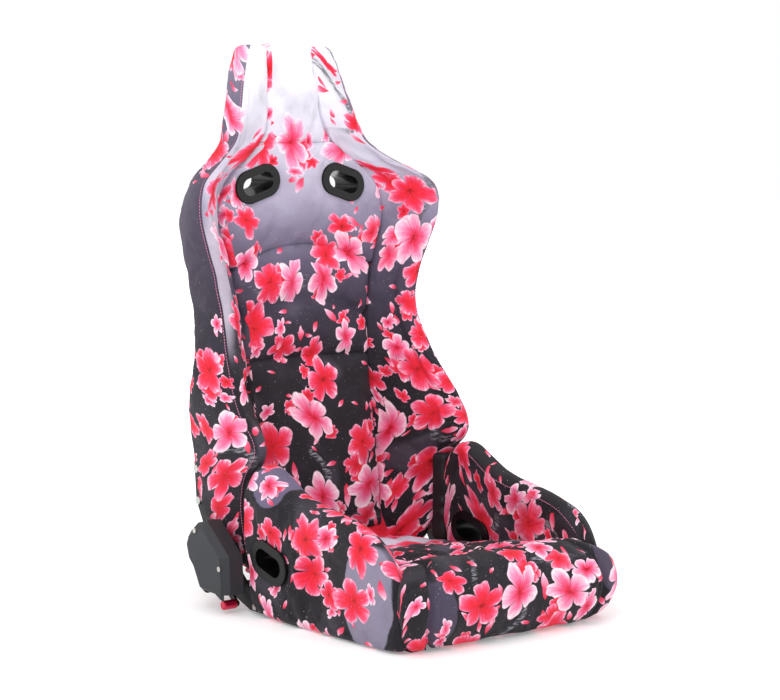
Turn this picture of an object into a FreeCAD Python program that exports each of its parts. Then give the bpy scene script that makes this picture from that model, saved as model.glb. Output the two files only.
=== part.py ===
import FreeCAD, Part
import math
import os

# Reclining sports seat, millimetres. +Z is up, the occupant faces -Y, and +X is the occupant's left.
# The origin is the centre of the four mounting holes, on the underside of the side rails.

V = FreeCAD.Vector
SIDES = {"left": 1, "right": -1}

# Overall sizes.
BASE_HALF_WIDTH = 240.0
BASE_FRONT_HALF_WIDTH = 222.0
COVER_HALF_WIDTH = 280.0
NOSE_FRONT_Y = -271.0

# General clearances.
SOFT_GAP = 1.5
SLIDE_GAP = 2.0

# Base frame.
RAIL_OUTER_X = 185.0
RAIL_WIDTH = 30.0
RAIL_HEIGHT = 25.0
RAIL_WALL = 2.5
RAIL_FRONT_Y = -225.0
RAIL_REAR_Y = 176.0
MOUNT_SPACING_X = 340.0
MOUNT_SPACING_Y = 290.0
MOUNT_HOLE_R = 4.25
NUT_ACROSS_FLATS = 13.0
NUT_HEIGHT = 6.5
CROSS_TUBE_R = 11.0
CROSS_TUBE_WALL = 2.0
CROSS_TUBE_Z = 13.0
FRONT_TUBE_Y = -160.0
REAR_TUBE_Y = 165.0
SPRING_WIRE_R = 2.0
SPRING_LOOP_HALF_WIDTH = 22.0
SPRING_LOOPS = 10
SPRING_X = (-105.0, -35.0, 35.0, 105.0)
NOSE_PLATE_THICKNESS = 2.0

# Base upholstery.
BOLSTER_INNER_X = 188.0
BOLSTER_BOTTOM_Z = 1.0
BOLSTER_FRONT_Y = -240.0
CUSHION_REAR_Y = 232.0
CUSHION_SIDE_GAP = 8.0
NOSE_SPLIT_Y = -149.0
NOSE_WIDE_HALF_WIDTH = 207.0

# Harness openings.
SLEEVE_WALL = 3.0
FLANGE_THICKNESS = 5.0
FLANGE_ROUND = 2.0
LAP_SLOT = (70.0, 32.0)
LAP_FLANGE = (100.0, 60.0)
LAP_CENTRE = (70.0, 100.0)
LAP_TILT = -16.0
SHOULDER_SLOT = (65.0, 30.0)
SHOULDER_FLANGE = (95.0, 58.0)
SHOULDER_CENTRE = (92.0, 706.0)
SHOULDER_TILT = -18.0

# Recliner, all about the pivot axis along X.
PIVOT_Y = 212.0
PIVOT_Z = 88.0
LOWER_PLATE_X = 221.0
LOWER_PLATE_THICKNESS = 5.0
UPPER_PLATE_THICKNESS = 4.0
SECTOR_THICKNESS = 5.0
PIVOT_R = 6.0
BUSH_WALL = 2.0
RUNNING_GAP = 0.05
TOOTH_TIP_R = 36.0
TOOTH_ROOT_R = 33.0
TOOTH_PITCH_DEG = 4.0
TOOTH_COUNT = 18
ROD_Y = 196.0
ROD_Z = 40.0
ROD_R = 5.0
PAWL_GAP = 0.6
PAWL_DEPTH = 5.0
LEVER_THICKNESS = 4.0
KNOB_Y = 168.0
KNOB_Z = 16.0
KNOB_R = 8.0
KNOB_LENGTH = 26.0
COVER_WALL = 2.5

# Backrest.
TUBE_R = 9.5
TUBE_WALL = 2.0
SIDE_TUBE_X = 195.0
SIDE_TUBE_BOTTOM_Z = 135.0
TOP_TUBE_Z = 655.0
BOTTOM_TUBE_Z = 160.0
TUBE_LEAN_START = (289.0, 172.0)
TUBE_LEAN = 0.1
HEAD_TUBE_R = 6.0
HEAD_TUBE_X = 30.0
HEAD_TUBE_TOP_Z = 880.0
SHELL_THICKNESS = 4.0
SHELL_FLAT_HALF_WIDTH = 165.0
SHELL_BOTTOM_Z = 92.0
UPPER_PAD_DEPTH = 20.0
PAD_DEPTH = 28.0
HEAD_PAD_DEPTH = 24.0
LUMBAR_BOTTOM_Z = 92.0
MID_PAD_BOTTOM_Z = 492.0
UPPER_PAD_BOTTOM_Z = 585.0
HEAD_PAD_BOTTOM_Z = 763.0

# Heights of the backrest, and there: the centre panel's front, the wing's front, the wing's inner and
# outer half-widths, and the back shell's centre, edge and half-width.
PANEL_FRONT = [(85, 250), (200, 265), (350, 290), (482, 305), (600, 312), (706, 316), (820, 330), (930, 345)]
WING_FRONT = [(108, 198), (180, 197), (230, 186), (250, 176), (300, 158), (366, 170), (410, 192), (470, 222),
              (522, 245), (585, 247), (640, 243), (690, 246), (722, 264), (745, 286), (762, 302)]
WING_INNER = [(108, 136), (470, 136), (522, 150), (690, 150), (722, 140), (745, 112), (762, 66)]
WING_OUTER = [(108, 216), (180, 216), (250, 222), (300, 224), (366, 236), (410, 230), (470, 220), (522, 220),
              (585, 238), (640, 258), (690, 260), (722, 232), (745, 190), (762, 166)]
SHELL_CENTRE = [(92, 316), (172, 324), (300, 340), (400, 352), (500, 362), (600, 368), (740, 372), (850, 386),
                (928, 392)]
SHELL_EDGE = [(92, 300), (172, 303), (240, 309), (293, 304), (412, 314), (505, 330), (582, 329), (658, 321),
              (716, 325), (744, 335), (782, 350), (850, 367), (928, 383)]
SHELL_HALF_WIDTH = [(92, 222), (250, 224), (300, 233), (412, 226), (505, 215), (582, 233), (658, 258),
                    (690, 258), (716, 234), (744, 188), (782, 146), (850, 118), (900, 108), (928, 94)]


def at(table, height):
    """Value of a (height, value) table at a height, in straight lines between its rows."""
    for (low, low_value), (high, high_value) in zip(table, table[1:]):
        if height <= high:
            return low_value + (high_value - low_value) * (height - low) / (high - low)
    return table[-1][1]


def tube_y(height):
    """Depth of the leaning backrest tubes' centre line at a height."""
    return TUBE_LEAN_START[0] + (height - TUBE_LEAN_START[1]) * TUBE_LEAN


def polygon(points):
    return Part.makePolygon(points + points[:1])


def prism_x(outline, x_start, x_end):
    """Prism along X of an outline of (y, z) points."""
    face = Part.Face(polygon([V(x_start, y, z) for y, z in outline]))
    return face.extrude(V(x_end - x_start, 0, 0))


def prism_y(outline, y_start, y_end):
    """Prism along Y of an outline of (x, z) points."""
    face = Part.Face(polygon([V(x, y_start, z) for x, z in outline]))
    return face.extrude(V(0, y_end - y_start, 0))


def prism_z(outline, z_start, z_end):
    """Prism along Z of an outline of (x, y) points."""
    face = Part.Face(polygon([V(x, y, z_start) for x, y in outline]))
    return face.extrude(V(0, 0, z_end - z_start))


def box(x_range, y_range, z_range):
    size = [high - low for low, high in (x_range, y_range, z_range)]
    return Part.makeBox(*size, V(x_range[0], y_range[0], z_range[0]))


def rod(start, end, radius):
    return Part.makeCylinder(radius, (end - start).Length, start, end - start)


def pipe(start, end, radius, wall):
    return rod(start, end, radius).cut(rod(start, end, radius - wall))


def rod_x(y, z, radius, x_start, x_end):
    return rod(V(x_start, y, z), V(x_end, y, z), radius)


def bent_rod(points, radius):
    """Round rod through points, with a ball at each bend."""
    parts = [rod(start, end, radius) for start, end in zip(points, points[1:])]
    parts += [Part.makeSphere(radius, bend) for bend in points[1:-1]]
    return parts[0].multiFuse(parts[1:]).removeSplitter()


def hexagon(centre, across_flats, direction, height):
    """Hexagonal prism from a centre point, along X or Z."""
    radius = across_flats / math.sqrt(3)
    corners = []
    for step in range(6):
        angle = math.radians(60 * step)
        reach = (radius * math.cos(angle), radius * math.sin(angle))
        flat = V(0, *reach) if direction.x else V(*reach, 0)
        corners.append(centre + flat)
    return Part.Face(polygon(corners)).extrude(direction * height)


def mirrored(shape):
    return shape.mirror(V(0, 0, 0), V(1, 0, 0))


def for_side(shape, side):
    """The shape is drawn on the left, +X side and mirrored for the right."""
    return shape if side > 0 else mirrored(shape)


def both(shape):
    return [shape, mirrored(shape)]


def stadium(length, width, depth):
    """Round-ended slot centred on the origin, long along X and width along Z, from y = 0 to depth."""
    half = (length - width) / 2
    radius = width / 2
    top = V(half, 0, radius)
    low = V(-half, 0, -radius)
    edges = [Part.makeLine(V(-half, 0, radius), top),
             Part.Arc(top, V(half + radius, 0, 0), V(half, 0, -radius)).toShape(),
             Part.makeLine(V(half, 0, -radius), low),
             Part.Arc(low, V(-half - radius, 0, 0), V(-half, 0, radius)).toShape()]
    return Part.Face(Part.Wire(edges)).extrude(V(0, depth, 0))


def loft(sections):
    """Solid with straight sides through closed outlines of equally many points."""
    return Part.makeLoft([polygon(points) for points in sections], True, True)


def export(name, *solids):
    shape = solids[0] if len(solids) == 1 else Part.makeCompound(list(solids))
    shape.exportStep("parts/" + name + ".step")


os.makedirs("parts", exist_ok=True)


# ---------------------------------------------------------------- base frame

def side_rail():
    """Square tube with the two mounting holes of its side in its lower wall."""
    outside = box((RAIL_OUTER_X - RAIL_WIDTH, RAIL_OUTER_X), (RAIL_FRONT_Y, RAIL_REAR_Y), (0, RAIL_HEIGHT))
    inside = box((RAIL_OUTER_X - RAIL_WIDTH + RAIL_WALL, RAIL_OUTER_X - RAIL_WALL),
                 (RAIL_FRONT_Y - 1, RAIL_REAR_Y + 1), (RAIL_WALL, RAIL_HEIGHT - RAIL_WALL))
    rail = outside.cut(inside)
    for y in (-MOUNT_SPACING_Y / 2, MOUNT_SPACING_Y / 2):
        rail = rail.cut(rod(V(MOUNT_SPACING_X / 2, y, -1), V(MOUNT_SPACING_X / 2, y, RAIL_WALL + 1), MOUNT_HOLE_R))
    return rail


def mount_nuts():
    """Weld nuts inside the rails, over the mounting holes."""
    nuts = []
    for x in (-MOUNT_SPACING_X / 2, MOUNT_SPACING_X / 2):
        for y in (-MOUNT_SPACING_Y / 2, MOUNT_SPACING_Y / 2):
            seat = V(x, y, RAIL_WALL)
            nut = hexagon(seat, NUT_ACROSS_FLATS, V(0, 0, 1), NUT_HEIGHT)
            nuts.append(nut.cut(rod(seat - V(0, 0, 1), seat + V(0, 0, NUT_HEIGHT + 1), MOUNT_HOLE_R)))
    return nuts


def cross_tube(y):
    reach = RAIL_OUTER_X - RAIL_WIDTH
    return pipe(V(-reach, y, CROSS_TUBE_Z), V(reach, y, CROSS_TUBE_Z), CROSS_TUBE_R, CROSS_TUBE_WALL)


SPRING_Z = CROSS_TUBE_Z + CROSS_TUBE_R + SPRING_WIRE_R


def zigzag_spring(x_centre):
    """Sinuous wire from tube to tube: cross runs joined by half circles."""
    pitch = (REAR_TUBE_Y - FRONT_TUBE_Y) / SPRING_LOOPS
    bend = pitch / 2
    reach = SPRING_LOOP_HALF_WIDTH - bend
    edges = []
    for loop in range(SPRING_LOOPS + 1):
        y = FRONT_TUBE_Y + loop * pitch
        side = 1 if loop % 2 == 0 else -1
        run_end = V(x_centre + side * reach, y, SPRING_Z)
        edges.append(Part.makeLine(V(x_centre - side * reach, y, SPRING_Z), run_end))
        if loop < SPRING_LOOPS:
            crest = V(x_centre + side * (reach + bend), y + bend, SPRING_Z)
            edges.append(Part.Arc(run_end, crest, run_end + V(0, pitch, 0)).toShape())
    path = Part.Wire(edges)
    start = path.Edges[0].Vertexes[0].Point
    profile = Part.Wire(Part.makeCircle(SPRING_WIRE_R, start, V(1, 0, 0)))
    return path.makePipeShell([profile], True, False)


def nose_plate():
    return box((-RAIL_OUTER_X, RAIL_OUTER_X), (RAIL_FRONT_Y, FRONT_TUBE_Y - CROSS_TUBE_R - SLIDE_GAP),
               (RAIL_HEIGHT, RAIL_HEIGHT + NOSE_PLATE_THICKNESS))


for name, side in SIDES.items():
    export("side_rail_" + name, for_side(side_rail(), side))
export("mount_nuts", *mount_nuts())
export("front_cross_tube", cross_tube(FRONT_TUBE_Y))
export("rear_cross_tube", cross_tube(REAR_TUBE_Y))
export("seat_springs", *[zigzag_spring(x) for x in SPRING_X])
export("nose_plate", nose_plate())


# ---------------------------------------------------------------- base upholstery

CUSHION_BOTTOM_Z = SPRING_Z + SPRING_WIRE_R + 1
ROD_CLEAR_Z = ROD_Z + ROD_R + 3
ROD_CLEAR_Y = ROD_Y - ROD_R - 8
NOSE_BOTTOM_Z = RAIL_HEIGHT + NOSE_PLATE_THICKNESS + SOFT_GAP


def seat_cushion():
    """Foam between the bolsters, raised at its rear over the release rod."""
    outline = [(NOSE_SPLIT_Y + SOFT_GAP, CUSHION_BOTTOM_Z), (ROD_CLEAR_Y, CUSHION_BOTTOM_Z),
               (ROD_CLEAR_Y, ROD_CLEAR_Z), (CUSHION_REAR_Y, ROD_CLEAR_Z), (CUSHION_REAR_Y, 70), (200, 75),
               (75, 80), (-100, 106), (NOSE_SPLIT_Y + SOFT_GAP, 116)]
    reach = BOLSTER_INNER_X - CUSHION_SIDE_GAP
    return prism_x(outline, -reach, reach)


def nose_roll():
    """Front roll: between the bolsters behind their front ends, and wider in front of them."""
    top = [(NOSE_SPLIT_Y, 118), (-180, 132), (-215, 134), (-250, 120), (NOSE_FRONT_Y + 3, 90),
           (NOSE_FRONT_Y, 55), (-262, 15), (-256, 4), (RAIL_FRONT_Y - 8, 4), (RAIL_FRONT_Y - 8, NOSE_BOTTOM_Z)]
    outline = [(NOSE_SPLIT_Y, NOSE_BOTTOM_Z)] + top
    reach = BOLSTER_INNER_X - SOFT_GAP
    middle = prism_x(outline, -reach, reach)
    whole = prism_x(outline, -NOSE_WIDE_HALF_WIDTH, NOSE_WIDE_HALF_WIDTH)
    front = whole.common(box((-NOSE_WIDE_HALF_WIDTH, NOSE_WIDE_HALF_WIDTH),
                             (NOSE_FRONT_Y - 1, BOLSTER_FRONT_Y - SOFT_GAP), (0, 140)))
    return middle.fuse(front).removeSplitter()


def lap_tool(size, x_start, x_end):
    """Round-ended prism along X at the lap opening."""
    tool = stadium(size[0], size[1], x_end - x_start)
    tool.rotate(V(0, 0, 0), V(0, 0, 1), -90)
    tool.rotate(V(0, 0, 0), V(1, 0, 0), -LAP_TILT)
    tool.translate(V(x_start, LAP_CENTRE[0], LAP_CENTRE[1]))
    return tool


def sleeve_size(slot, extra):
    return [length + 2 * (SLEEVE_WALL + extra) for length in slot]


BRACKET_NOTCH = box((BOLSTER_INNER_X - 1, LOWER_PLATE_X + LOWER_PLATE_THICKNESS + 6), (90, 170), (0, 42))


def seat_bolster():
    """Side bolster with its horn: a side profile met with a plan, open for the lap belt and bracket."""
    profile = [(BOLSTER_FRONT_Y, BOLSTER_BOTTOM_Z), (-234, 88), (-212, 120), (-200, 138), (-170, 162),
               (-120, 181), (-55, 190), (24, 206), (60, 225), (94, 245), (108, 251), (121, 249), (140, 232),
               (156, 206), (164, 137), (152, 100), (142, 60), (142, BOLSTER_BOTTOM_Z)]
    plan = [(BOLSTER_INNER_X, BOLSTER_FRONT_Y - 1), (BASE_FRONT_HALF_WIDTH, BOLSTER_FRONT_Y - 1),
            (BASE_HALF_WIDTH, 60), (BASE_HALF_WIDTH, 170), (BOLSTER_INNER_X, 170)]
    whole = prism_x(profile, BOLSTER_INNER_X, BASE_HALF_WIDTH).common(prism_z(plan, 0, 260))
    hole = lap_tool(sleeve_size(LAP_SLOT, SOFT_GAP), BOLSTER_INNER_X - 1, BASE_HALF_WIDTH + 1)
    return whole.cut(hole).cut(BRACKET_NOTCH)


def lap_bezel(outer):
    """Flanged half of the lap opening's liner; the two halves meet in the bolster's middle."""
    middle = (BOLSTER_INNER_X + BASE_HALF_WIDTH) / 2
    face = BASE_HALF_WIDTH + SOFT_GAP if outer else BOLSTER_INNER_X - SOFT_GAP
    away = FLANGE_THICKNESS if outer else -FLANGE_THICKNESS
    low, high = sorted((face, face + away))
    flange = lap_tool(LAP_FLANGE, low, high)
    rim = [edge for edge in flange.Edges if abs(edge.CenterOfMass.x - (face + away)) < 0.01]
    flange = flange.makeFillet(FLANGE_ROUND, rim)
    sleeve_low, sleeve_high = sorted((middle, face))
    sleeve = lap_tool(sleeve_size(LAP_SLOT, 0), sleeve_low, sleeve_high)
    passage = lap_tool(LAP_SLOT, BOLSTER_INNER_X - 20, BASE_HALF_WIDTH + 20)
    return flange.fuse(sleeve).cut(passage).removeSplitter()


export("seat_cushion", seat_cushion())
export("nose_roll", nose_roll())
for name, side in SIDES.items():
    export("seat_bolster_" + name, for_side(seat_bolster(), side))
    export("lap_bezel_outer_" + name, for_side(lap_bezel(True), side))
    export("lap_bezel_inner_" + name, for_side(lap_bezel(False), side))


# ---------------------------------------------------------------- recliner

LOWER_PLATE_FACE = LOWER_PLATE_X + LOWER_PLATE_THICKNESS
UPPER_PLATE_X = LOWER_PLATE_FACE + SLIDE_GAP
SECTOR_X = UPPER_PLATE_X + UPPER_PLATE_THICKNESS
SECTOR_FACE = SECTOR_X + SECTOR_THICKNESS
LEVER_X = SECTOR_FACE + SLIDE_GAP
LEVER_FACE = LEVER_X + LEVER_THICKNESS
OUTRIGGER_Y = (110.0, 140.0)
OUTRIGGER_Z = (4.0, 24.0)
BUSH_R = PIVOT_R + BUSH_WALL
PIVOT_HEAD_X = SECTOR_FACE + 0.5
SPIRAL_WIRE = 1.6
SPIRAL_START_R = 11.5
SPIRAL_STEP = 1.3
SPIRAL_HALF_TURNS = 8
SPIRAL_WIDTH = 6.0
COVER_OUTLINE = [(213, 152), (240, 145), (262, 128), (269, 112), (263, 85), (248, 67), (227, 37), (221, 29),
                 (170, 28), (150, 20), (146, 51), (149, 100)]


def outrigger():
    """Box tube from the side rail to the lower hinge plate."""
    outside = box((RAIL_OUTER_X, LOWER_PLATE_X), OUTRIGGER_Y, OUTRIGGER_Z)
    inside = box((RAIL_OUTER_X, LOWER_PLATE_X), (OUTRIGGER_Y[0] + 2, OUTRIGGER_Y[1] - 2),
                 (OUTRIGGER_Z[0] + 2, OUTRIGGER_Z[1] - 2))
    return outside.cut(inside)


BRACKET_BOLTS_YZ = [(117.0, 14.0), (133.0, 14.0)]
BRACKET_BOLT_R = 3.0


def hinge_plate():
    """Lower plate of the recliner: a bar along the base that rises to the pivot and the release rod."""
    outline = [(104, 5), (150, 6), (206, 26), (214, 40), (236, 74), (240, 90), (232, 110), (212, 118),
               (192, 112), (182, 96), (178, 64), (150, 40), (104, 26)]
    plate = prism_x(outline, LOWER_PLATE_X, LOWER_PLATE_FACE)
    plate = plate.cut(rod_x(PIVOT_Y, PIVOT_Z, BUSH_R, LOWER_PLATE_X - 1, LOWER_PLATE_FACE + 1))
    plate = plate.cut(rod_x(ROD_Y, ROD_Z, ROD_R + BUSH_WALL, LOWER_PLATE_X - 1, LOWER_PLATE_FACE + 1))
    for y, z in BRACKET_BOLTS_YZ:
        plate = plate.cut(rod_x(y, z, BRACKET_BOLT_R, LOWER_PLATE_X - 1, LOWER_PLATE_FACE + 1))
    return plate


def bracket_bolts():
    """Hexagon-headed screws that hold the lower plate on the outrigger."""
    bolts = []
    for y, z in BRACKET_BOLTS_YZ:
        head = hexagon(V(LOWER_PLATE_FACE, y, z), 10, V(1, 0, 0), 4)
        bolts.append(head.fuse(rod_x(y, z, BRACKET_BOLT_R, LOWER_PLATE_X, LOWER_PLATE_FACE + 1)))
    return bolts


def pivot_bush():
    """Plain bush, pressed in the lower plate; the pivot bolt turns in it."""
    return rod_x(PIVOT_Y, PIVOT_Z, BUSH_R, LOWER_PLATE_X, LOWER_PLATE_FACE).cut(
        rod_x(PIVOT_Y, PIVOT_Z, PIVOT_R, LOWER_PLATE_X - 1, LOWER_PLATE_FACE + 1))


def rod_bush():
    """Plain bush in the lower plate, around the release rod."""
    return rod_x(ROD_Y, ROD_Z, ROD_R + BUSH_WALL, LOWER_PLATE_X, LOWER_PLATE_FACE).cut(
        rod_x(ROD_Y, ROD_Z, ROD_R + RUNNING_GAP, LOWER_PLATE_X - 1, LOWER_PLATE_FACE + 1))


def pivot_bolt():
    """Shoulder bolt of the recliner with its inner nut; the backrest's plate turns on it."""
    shank = rod_x(PIVOT_Y, PIVOT_Z, PIVOT_R, LOWER_PLATE_X - 9, PIVOT_HEAD_X)
    head = rod_x(PIVOT_Y, PIVOT_Z, 10, PIVOT_HEAD_X, PIVOT_HEAD_X + 9)
    nut = hexagon(V(LOWER_PLATE_X - 8, PIVOT_Y, PIVOT_Z), 18, V(1, 0, 0), 8)
    return shank.multiFuse([head, nut]).removeSplitter()


SPACER_Z = (172.0, 226.0)
SPACER_R = 8.0
SPACER_BOLT_R = 4.0


def upper_plate():
    """Backrest's hinge plate, from the pivot up to the side tube."""
    outline = [(212, 116), (188, 104), (182, 84), (190, 62), (212, 54), (238, 66), (262, 104), (300, 170),
               (306, 238), (286, 242), (268, 200), (240, 138)]
    plate = prism_x(outline, UPPER_PLATE_X, SECTOR_X)
    plate = plate.cut(rod_x(PIVOT_Y, PIVOT_Z, PIVOT_R + RUNNING_GAP, UPPER_PLATE_X - 1, SECTOR_X + 1))
    for z in SPACER_Z:
        plate = plate.cut(rod_x(tube_y(z), z, SPACER_BOLT_R, UPPER_PLATE_X - 1, SECTOR_X + 1))
    return plate


def spacers():
    """Sleeves between the side tube and the upper plate, coped to the tube."""
    sleeves = []
    for z in SPACER_Z:
        sleeve = rod_x(tube_y(z), z, SPACER_R, SIDE_TUBE_X, UPPER_PLATE_X)
        sleeve = sleeve.cut(rod_x(tube_y(z), z, SPACER_BOLT_R, SIDE_TUBE_X - 1, UPPER_PLATE_X + 1))
        sleeves.append(sleeve.cut(side_tube_blank()))
    return sleeves


def spacer_bolts():
    """Screws through the upper plate and the sleeves, up to the side tube."""
    bolts = []
    for z in SPACER_Z:
        tip = SIDE_TUBE_X + TUBE_R + 1
        shank = rod_x(tube_y(z), z, SPACER_BOLT_R, tip, SECTOR_X)
        bolts.append(shank.fuse(hexagon(V(SECTOR_X, tube_y(z), z), 13, V(1, 0, 0), 5)))
    return bolts


PAWL_ANGLE = math.degrees(math.atan2(ROD_Z - PIVOT_Z, ROD_Y - PIVOT_Y) +
                          math.acos(TOOTH_TIP_R / math.hypot(ROD_Y - PIVOT_Y, ROD_Z - PIVOT_Z)))
FORWARD_LIMIT_DEG = 10.0


def around_pivot(radius, angle_deg):
    angle = math.radians(angle_deg)
    return (PIVOT_Y + radius * math.cos(angle), PIVOT_Z + radius * math.sin(angle))


def sector():
    """Toothed sector fixed to the upper plate; its teeth pass the pawl over the whole recline."""
    first = PAWL_ANGLE - FORWARD_LIMIT_DEG - 1.5 * TOOTH_PITCH_DEG
    outline = []
    for tooth in range(TOOTH_COUNT):
        angle = first + tooth * TOOTH_PITCH_DEG
        for share, radius in ((0.0, TOOTH_ROOT_R), (0.25, TOOTH_ROOT_R), (0.45, TOOTH_TIP_R), (0.8, TOOTH_TIP_R)):
            outline.append(around_pivot(radius, angle + share * TOOTH_PITCH_DEG))
    last = first + TOOTH_COUNT * TOOTH_PITCH_DEG
    outline.append(around_pivot(TOOTH_ROOT_R, last))
    outline += [around_pivot(24, last + turn) for turn in (40, 90, 150, 210, 250)]
    plate = prism_x(outline, SECTOR_X, SECTOR_FACE)
    return plate.cut(rod_x(PIVOT_Y, PIVOT_Z, PIVOT_R + RUNNING_GAP, SECTOR_X - 1, SECTOR_FACE + 1))


def pawl():
    """Pawl on the release rod; its toothed end lies against the sector, just clear of the tooth tips."""
    tip = around_pivot(TOOTH_TIP_R + PAWL_GAP, PAWL_ANGLE)
    away = around_pivot(TOOTH_TIP_R + PAWL_GAP + PAWL_DEPTH, PAWL_ANGLE)
    near = around_pivot(TOOTH_TIP_R + PAWL_GAP, PAWL_ANGLE - 12)
    far_end = around_pivot(TOOTH_TIP_R + PAWL_GAP + 0.7 * PAWL_DEPTH, PAWL_ANGLE + 8)
    far_tip = around_pivot(TOOTH_TIP_R + PAWL_GAP, PAWL_ANGLE + 8)
    arm = prism_x([(ROD_Y, ROD_Z - 8), away, far_end, far_tip, tip, near, (ROD_Y, ROD_Z + 9)],
                  SECTOR_X, SECTOR_FACE)
    hub = rod_x(ROD_Y, ROD_Z, 8.5, SECTOR_X, SECTOR_FACE)
    keep_out = rod_x(PIVOT_Y, PIVOT_Z, TOOTH_TIP_R + PAWL_GAP, SECTOR_X - 1, SECTOR_FACE + 1)
    body = arm.fuse(hub).cut(keep_out)
    return body.cut(rod_x(ROD_Y, ROD_Z, ROD_R, SECTOR_X - 1, SECTOR_FACE + 1)).removeSplitter()


KNOB_SCREW_R = 2.5


def lever():
    """Flat release lever, from the rod forward and down to the knob."""
    along = V(0, KNOB_Y - ROD_Y, KNOB_Z - ROD_Z)
    across = V(0, -along.z, along.y) * (5.5 / along.Length)
    start = V(LEVER_X, ROD_Y, ROD_Z)
    end = start + along
    bar = Part.Face(polygon([start + across, end + across, end - across, start - across]))
    bar = bar.extrude(V(LEVER_THICKNESS, 0, 0))
    hub = rod_x(ROD_Y, ROD_Z, 9, LEVER_X, LEVER_FACE)
    eye = rod_x(KNOB_Y, KNOB_Z, 5.5, LEVER_X, LEVER_FACE)
    body = bar.multiFuse([hub, eye])
    for y, z, radius in ((ROD_Y, ROD_Z, ROD_R), (KNOB_Y, KNOB_Z, KNOB_SCREW_R)):
        body = body.cut(rod_x(y, z, radius, LEVER_X - 1, LEVER_FACE + 1))
    return body.removeSplitter()


def knob():
    """Turned knob with rounded ends, bored for its screw."""
    body = rod_x(KNOB_Y, KNOB_Z, KNOB_R, LEVER_FACE, LEVER_FACE + KNOB_LENGTH)
    body = body.makeFillet(2.5, body.Edges)
    return body.cut(rod_x(KNOB_Y, KNOB_Z, KNOB_SCREW_R, LEVER_FACE - 1, LEVER_FACE + 15))


def knob_screw():
    shank = rod_x(KNOB_Y, KNOB_Z, KNOB_SCREW_R, LEVER_X - 1, LEVER_FACE + 15)
    return shank.fuse(rod_x(KNOB_Y, KNOB_Z, 4.5, LEVER_X - 1.7, LEVER_X))


def release_rod():
    reach = LEVER_FACE + 1
    return rod_x(ROD_Y, ROD_Z, ROD_R, -reach, reach)


def lever_spring():
    """Torsion coil around the release rod, beside the lower plate."""
    helix = Part.makeHelix(2.6, 15.6, ROD_R + 3)
    profile = Part.Wire(Part.makeCircle(0.9, V(ROD_R + 3, 0, 0), V(0, 1, 0)))
    coil = Part.Wire(helix).makePipeShell([profile], True, True)
    coil.rotate(V(0, 0, 0), V(0, 1, 0), 90)
    coil.translate(V(LOWER_PLATE_X - 18.5, ROD_Y, ROD_Z))
    return coil


def spiral_spring():
    """Flat spiral that lifts the backrest, wound of half rings that grow at each half turn."""
    low = PIVOT_HEAD_X + 1
    coil = None
    for turn in range(SPIRAL_HALF_TURNS):
        radius = SPIRAL_START_R + turn * SPIRAL_STEP
        centre_y = PIVOT_Y + (SPIRAL_STEP / 2 if turn % 2 else -SPIRAL_STEP / 2)
        ring = rod_x(centre_y, PIVOT_Z, radius + SPIRAL_WIRE / 2, low, low + SPIRAL_WIDTH)
        ring = ring.cut(rod_x(centre_y, PIVOT_Z, radius - SPIRAL_WIRE / 2, low - 1, low + SPIRAL_WIDTH + 1))
        z_range = (PIVOT_Z, PIVOT_Z + 60) if turn % 2 else (PIVOT_Z - 60, PIVOT_Z)
        half = ring.common(box((low, low + SPIRAL_WIDTH), (PIVOT_Y - 60, PIVOT_Y + 60), z_range))
        coil = half if coil is None else coil.fuse(half)
    return coil.removeSplitter()


COVER_SKIRT_X = BASE_HALF_WIDTH + SOFT_GAP
COVER_FACE_X = COVER_HALF_WIDTH
COVER_CHAMFER = 12.0
COVER_SCREWS_YZ = [(160.0, 80.0), (232.0, 134.0)]
COVER_SCREW_R = 2.5


def shrunk(outline, amount):
    """Outline moved inwards by an amount, towards the pivot."""
    moved = []
    for y, z in outline:
        reach = math.hypot(y - PIVOT_Y, z - PIVOT_Z)
        share = (reach - amount) / reach
        moved.append((PIVOT_Y + (y - PIVOT_Y) * share, PIVOT_Z + (z - PIVOT_Z) * share))
    return moved


def cover_block(outline, x_inner, x_outer, chamfer):
    """Straight block with a sloping border around its outer face."""
    section = [[V(x_inner, y, z) for y, z in outline], [V(x_outer - chamfer, y, z) for y, z in outline],
               [V(x_outer, y, z) for y, z in shrunk(outline, chamfer)]]
    return loft(section)


def recliner_cover():
    """Faceted moulding over the hinge, hollow inside and open below for the lever."""
    whole = cover_block(COVER_OUTLINE, COVER_SKIRT_X, COVER_FACE_X, COVER_CHAMFER)
    hollow = cover_block(shrunk(COVER_OUTLINE, COVER_WALL + 1), COVER_SKIRT_X - 1, COVER_FACE_X - COVER_WALL,
                         COVER_CHAMFER)
    door = box((COVER_SKIRT_X - 1, COVER_FACE_X - 2 * COVER_WALL), (140, 216), (10, 36))
    cover = whole.cut(hollow).cut(door)
    for y, z in COVER_SCREWS_YZ:
        cover = cover.cut(rod_x(y, z, COVER_SCREW_R, COVER_FACE_X - 40, COVER_FACE_X + 1))
    return cover


for name, side in SIDES.items():
    export("outrigger_" + name, for_side(outrigger(), side))
    export("hinge_plate_" + name, for_side(hinge_plate(), side))
    export("recliner_cover_" + name, for_side(recliner_cover(), side))
    export("sector_" + name, for_side(sector(), side))
    export("pawl_" + name, for_side(pawl(), side))
    export("release_lever_" + name, for_side(lever(), side))
    export("lever_knob_" + name, for_side(knob(), side))


# ---------------------------------------------------------------- recliner, groups of small pieces

def cover_screws():
    """Screws through the cover's face."""
    screws = []
    for y, z in COVER_SCREWS_YZ:
        head = rod_x(y, z, 4.5, COVER_FACE_X, COVER_FACE_X + 2)
        screws.append(head.fuse(rod_x(y, z, COVER_SCREW_R, COVER_FACE_X - COVER_WALL - 8, COVER_FACE_X)))
    return screws


def each_side(solids):
    return [copy for solid in solids for copy in both(solid)]


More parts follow.
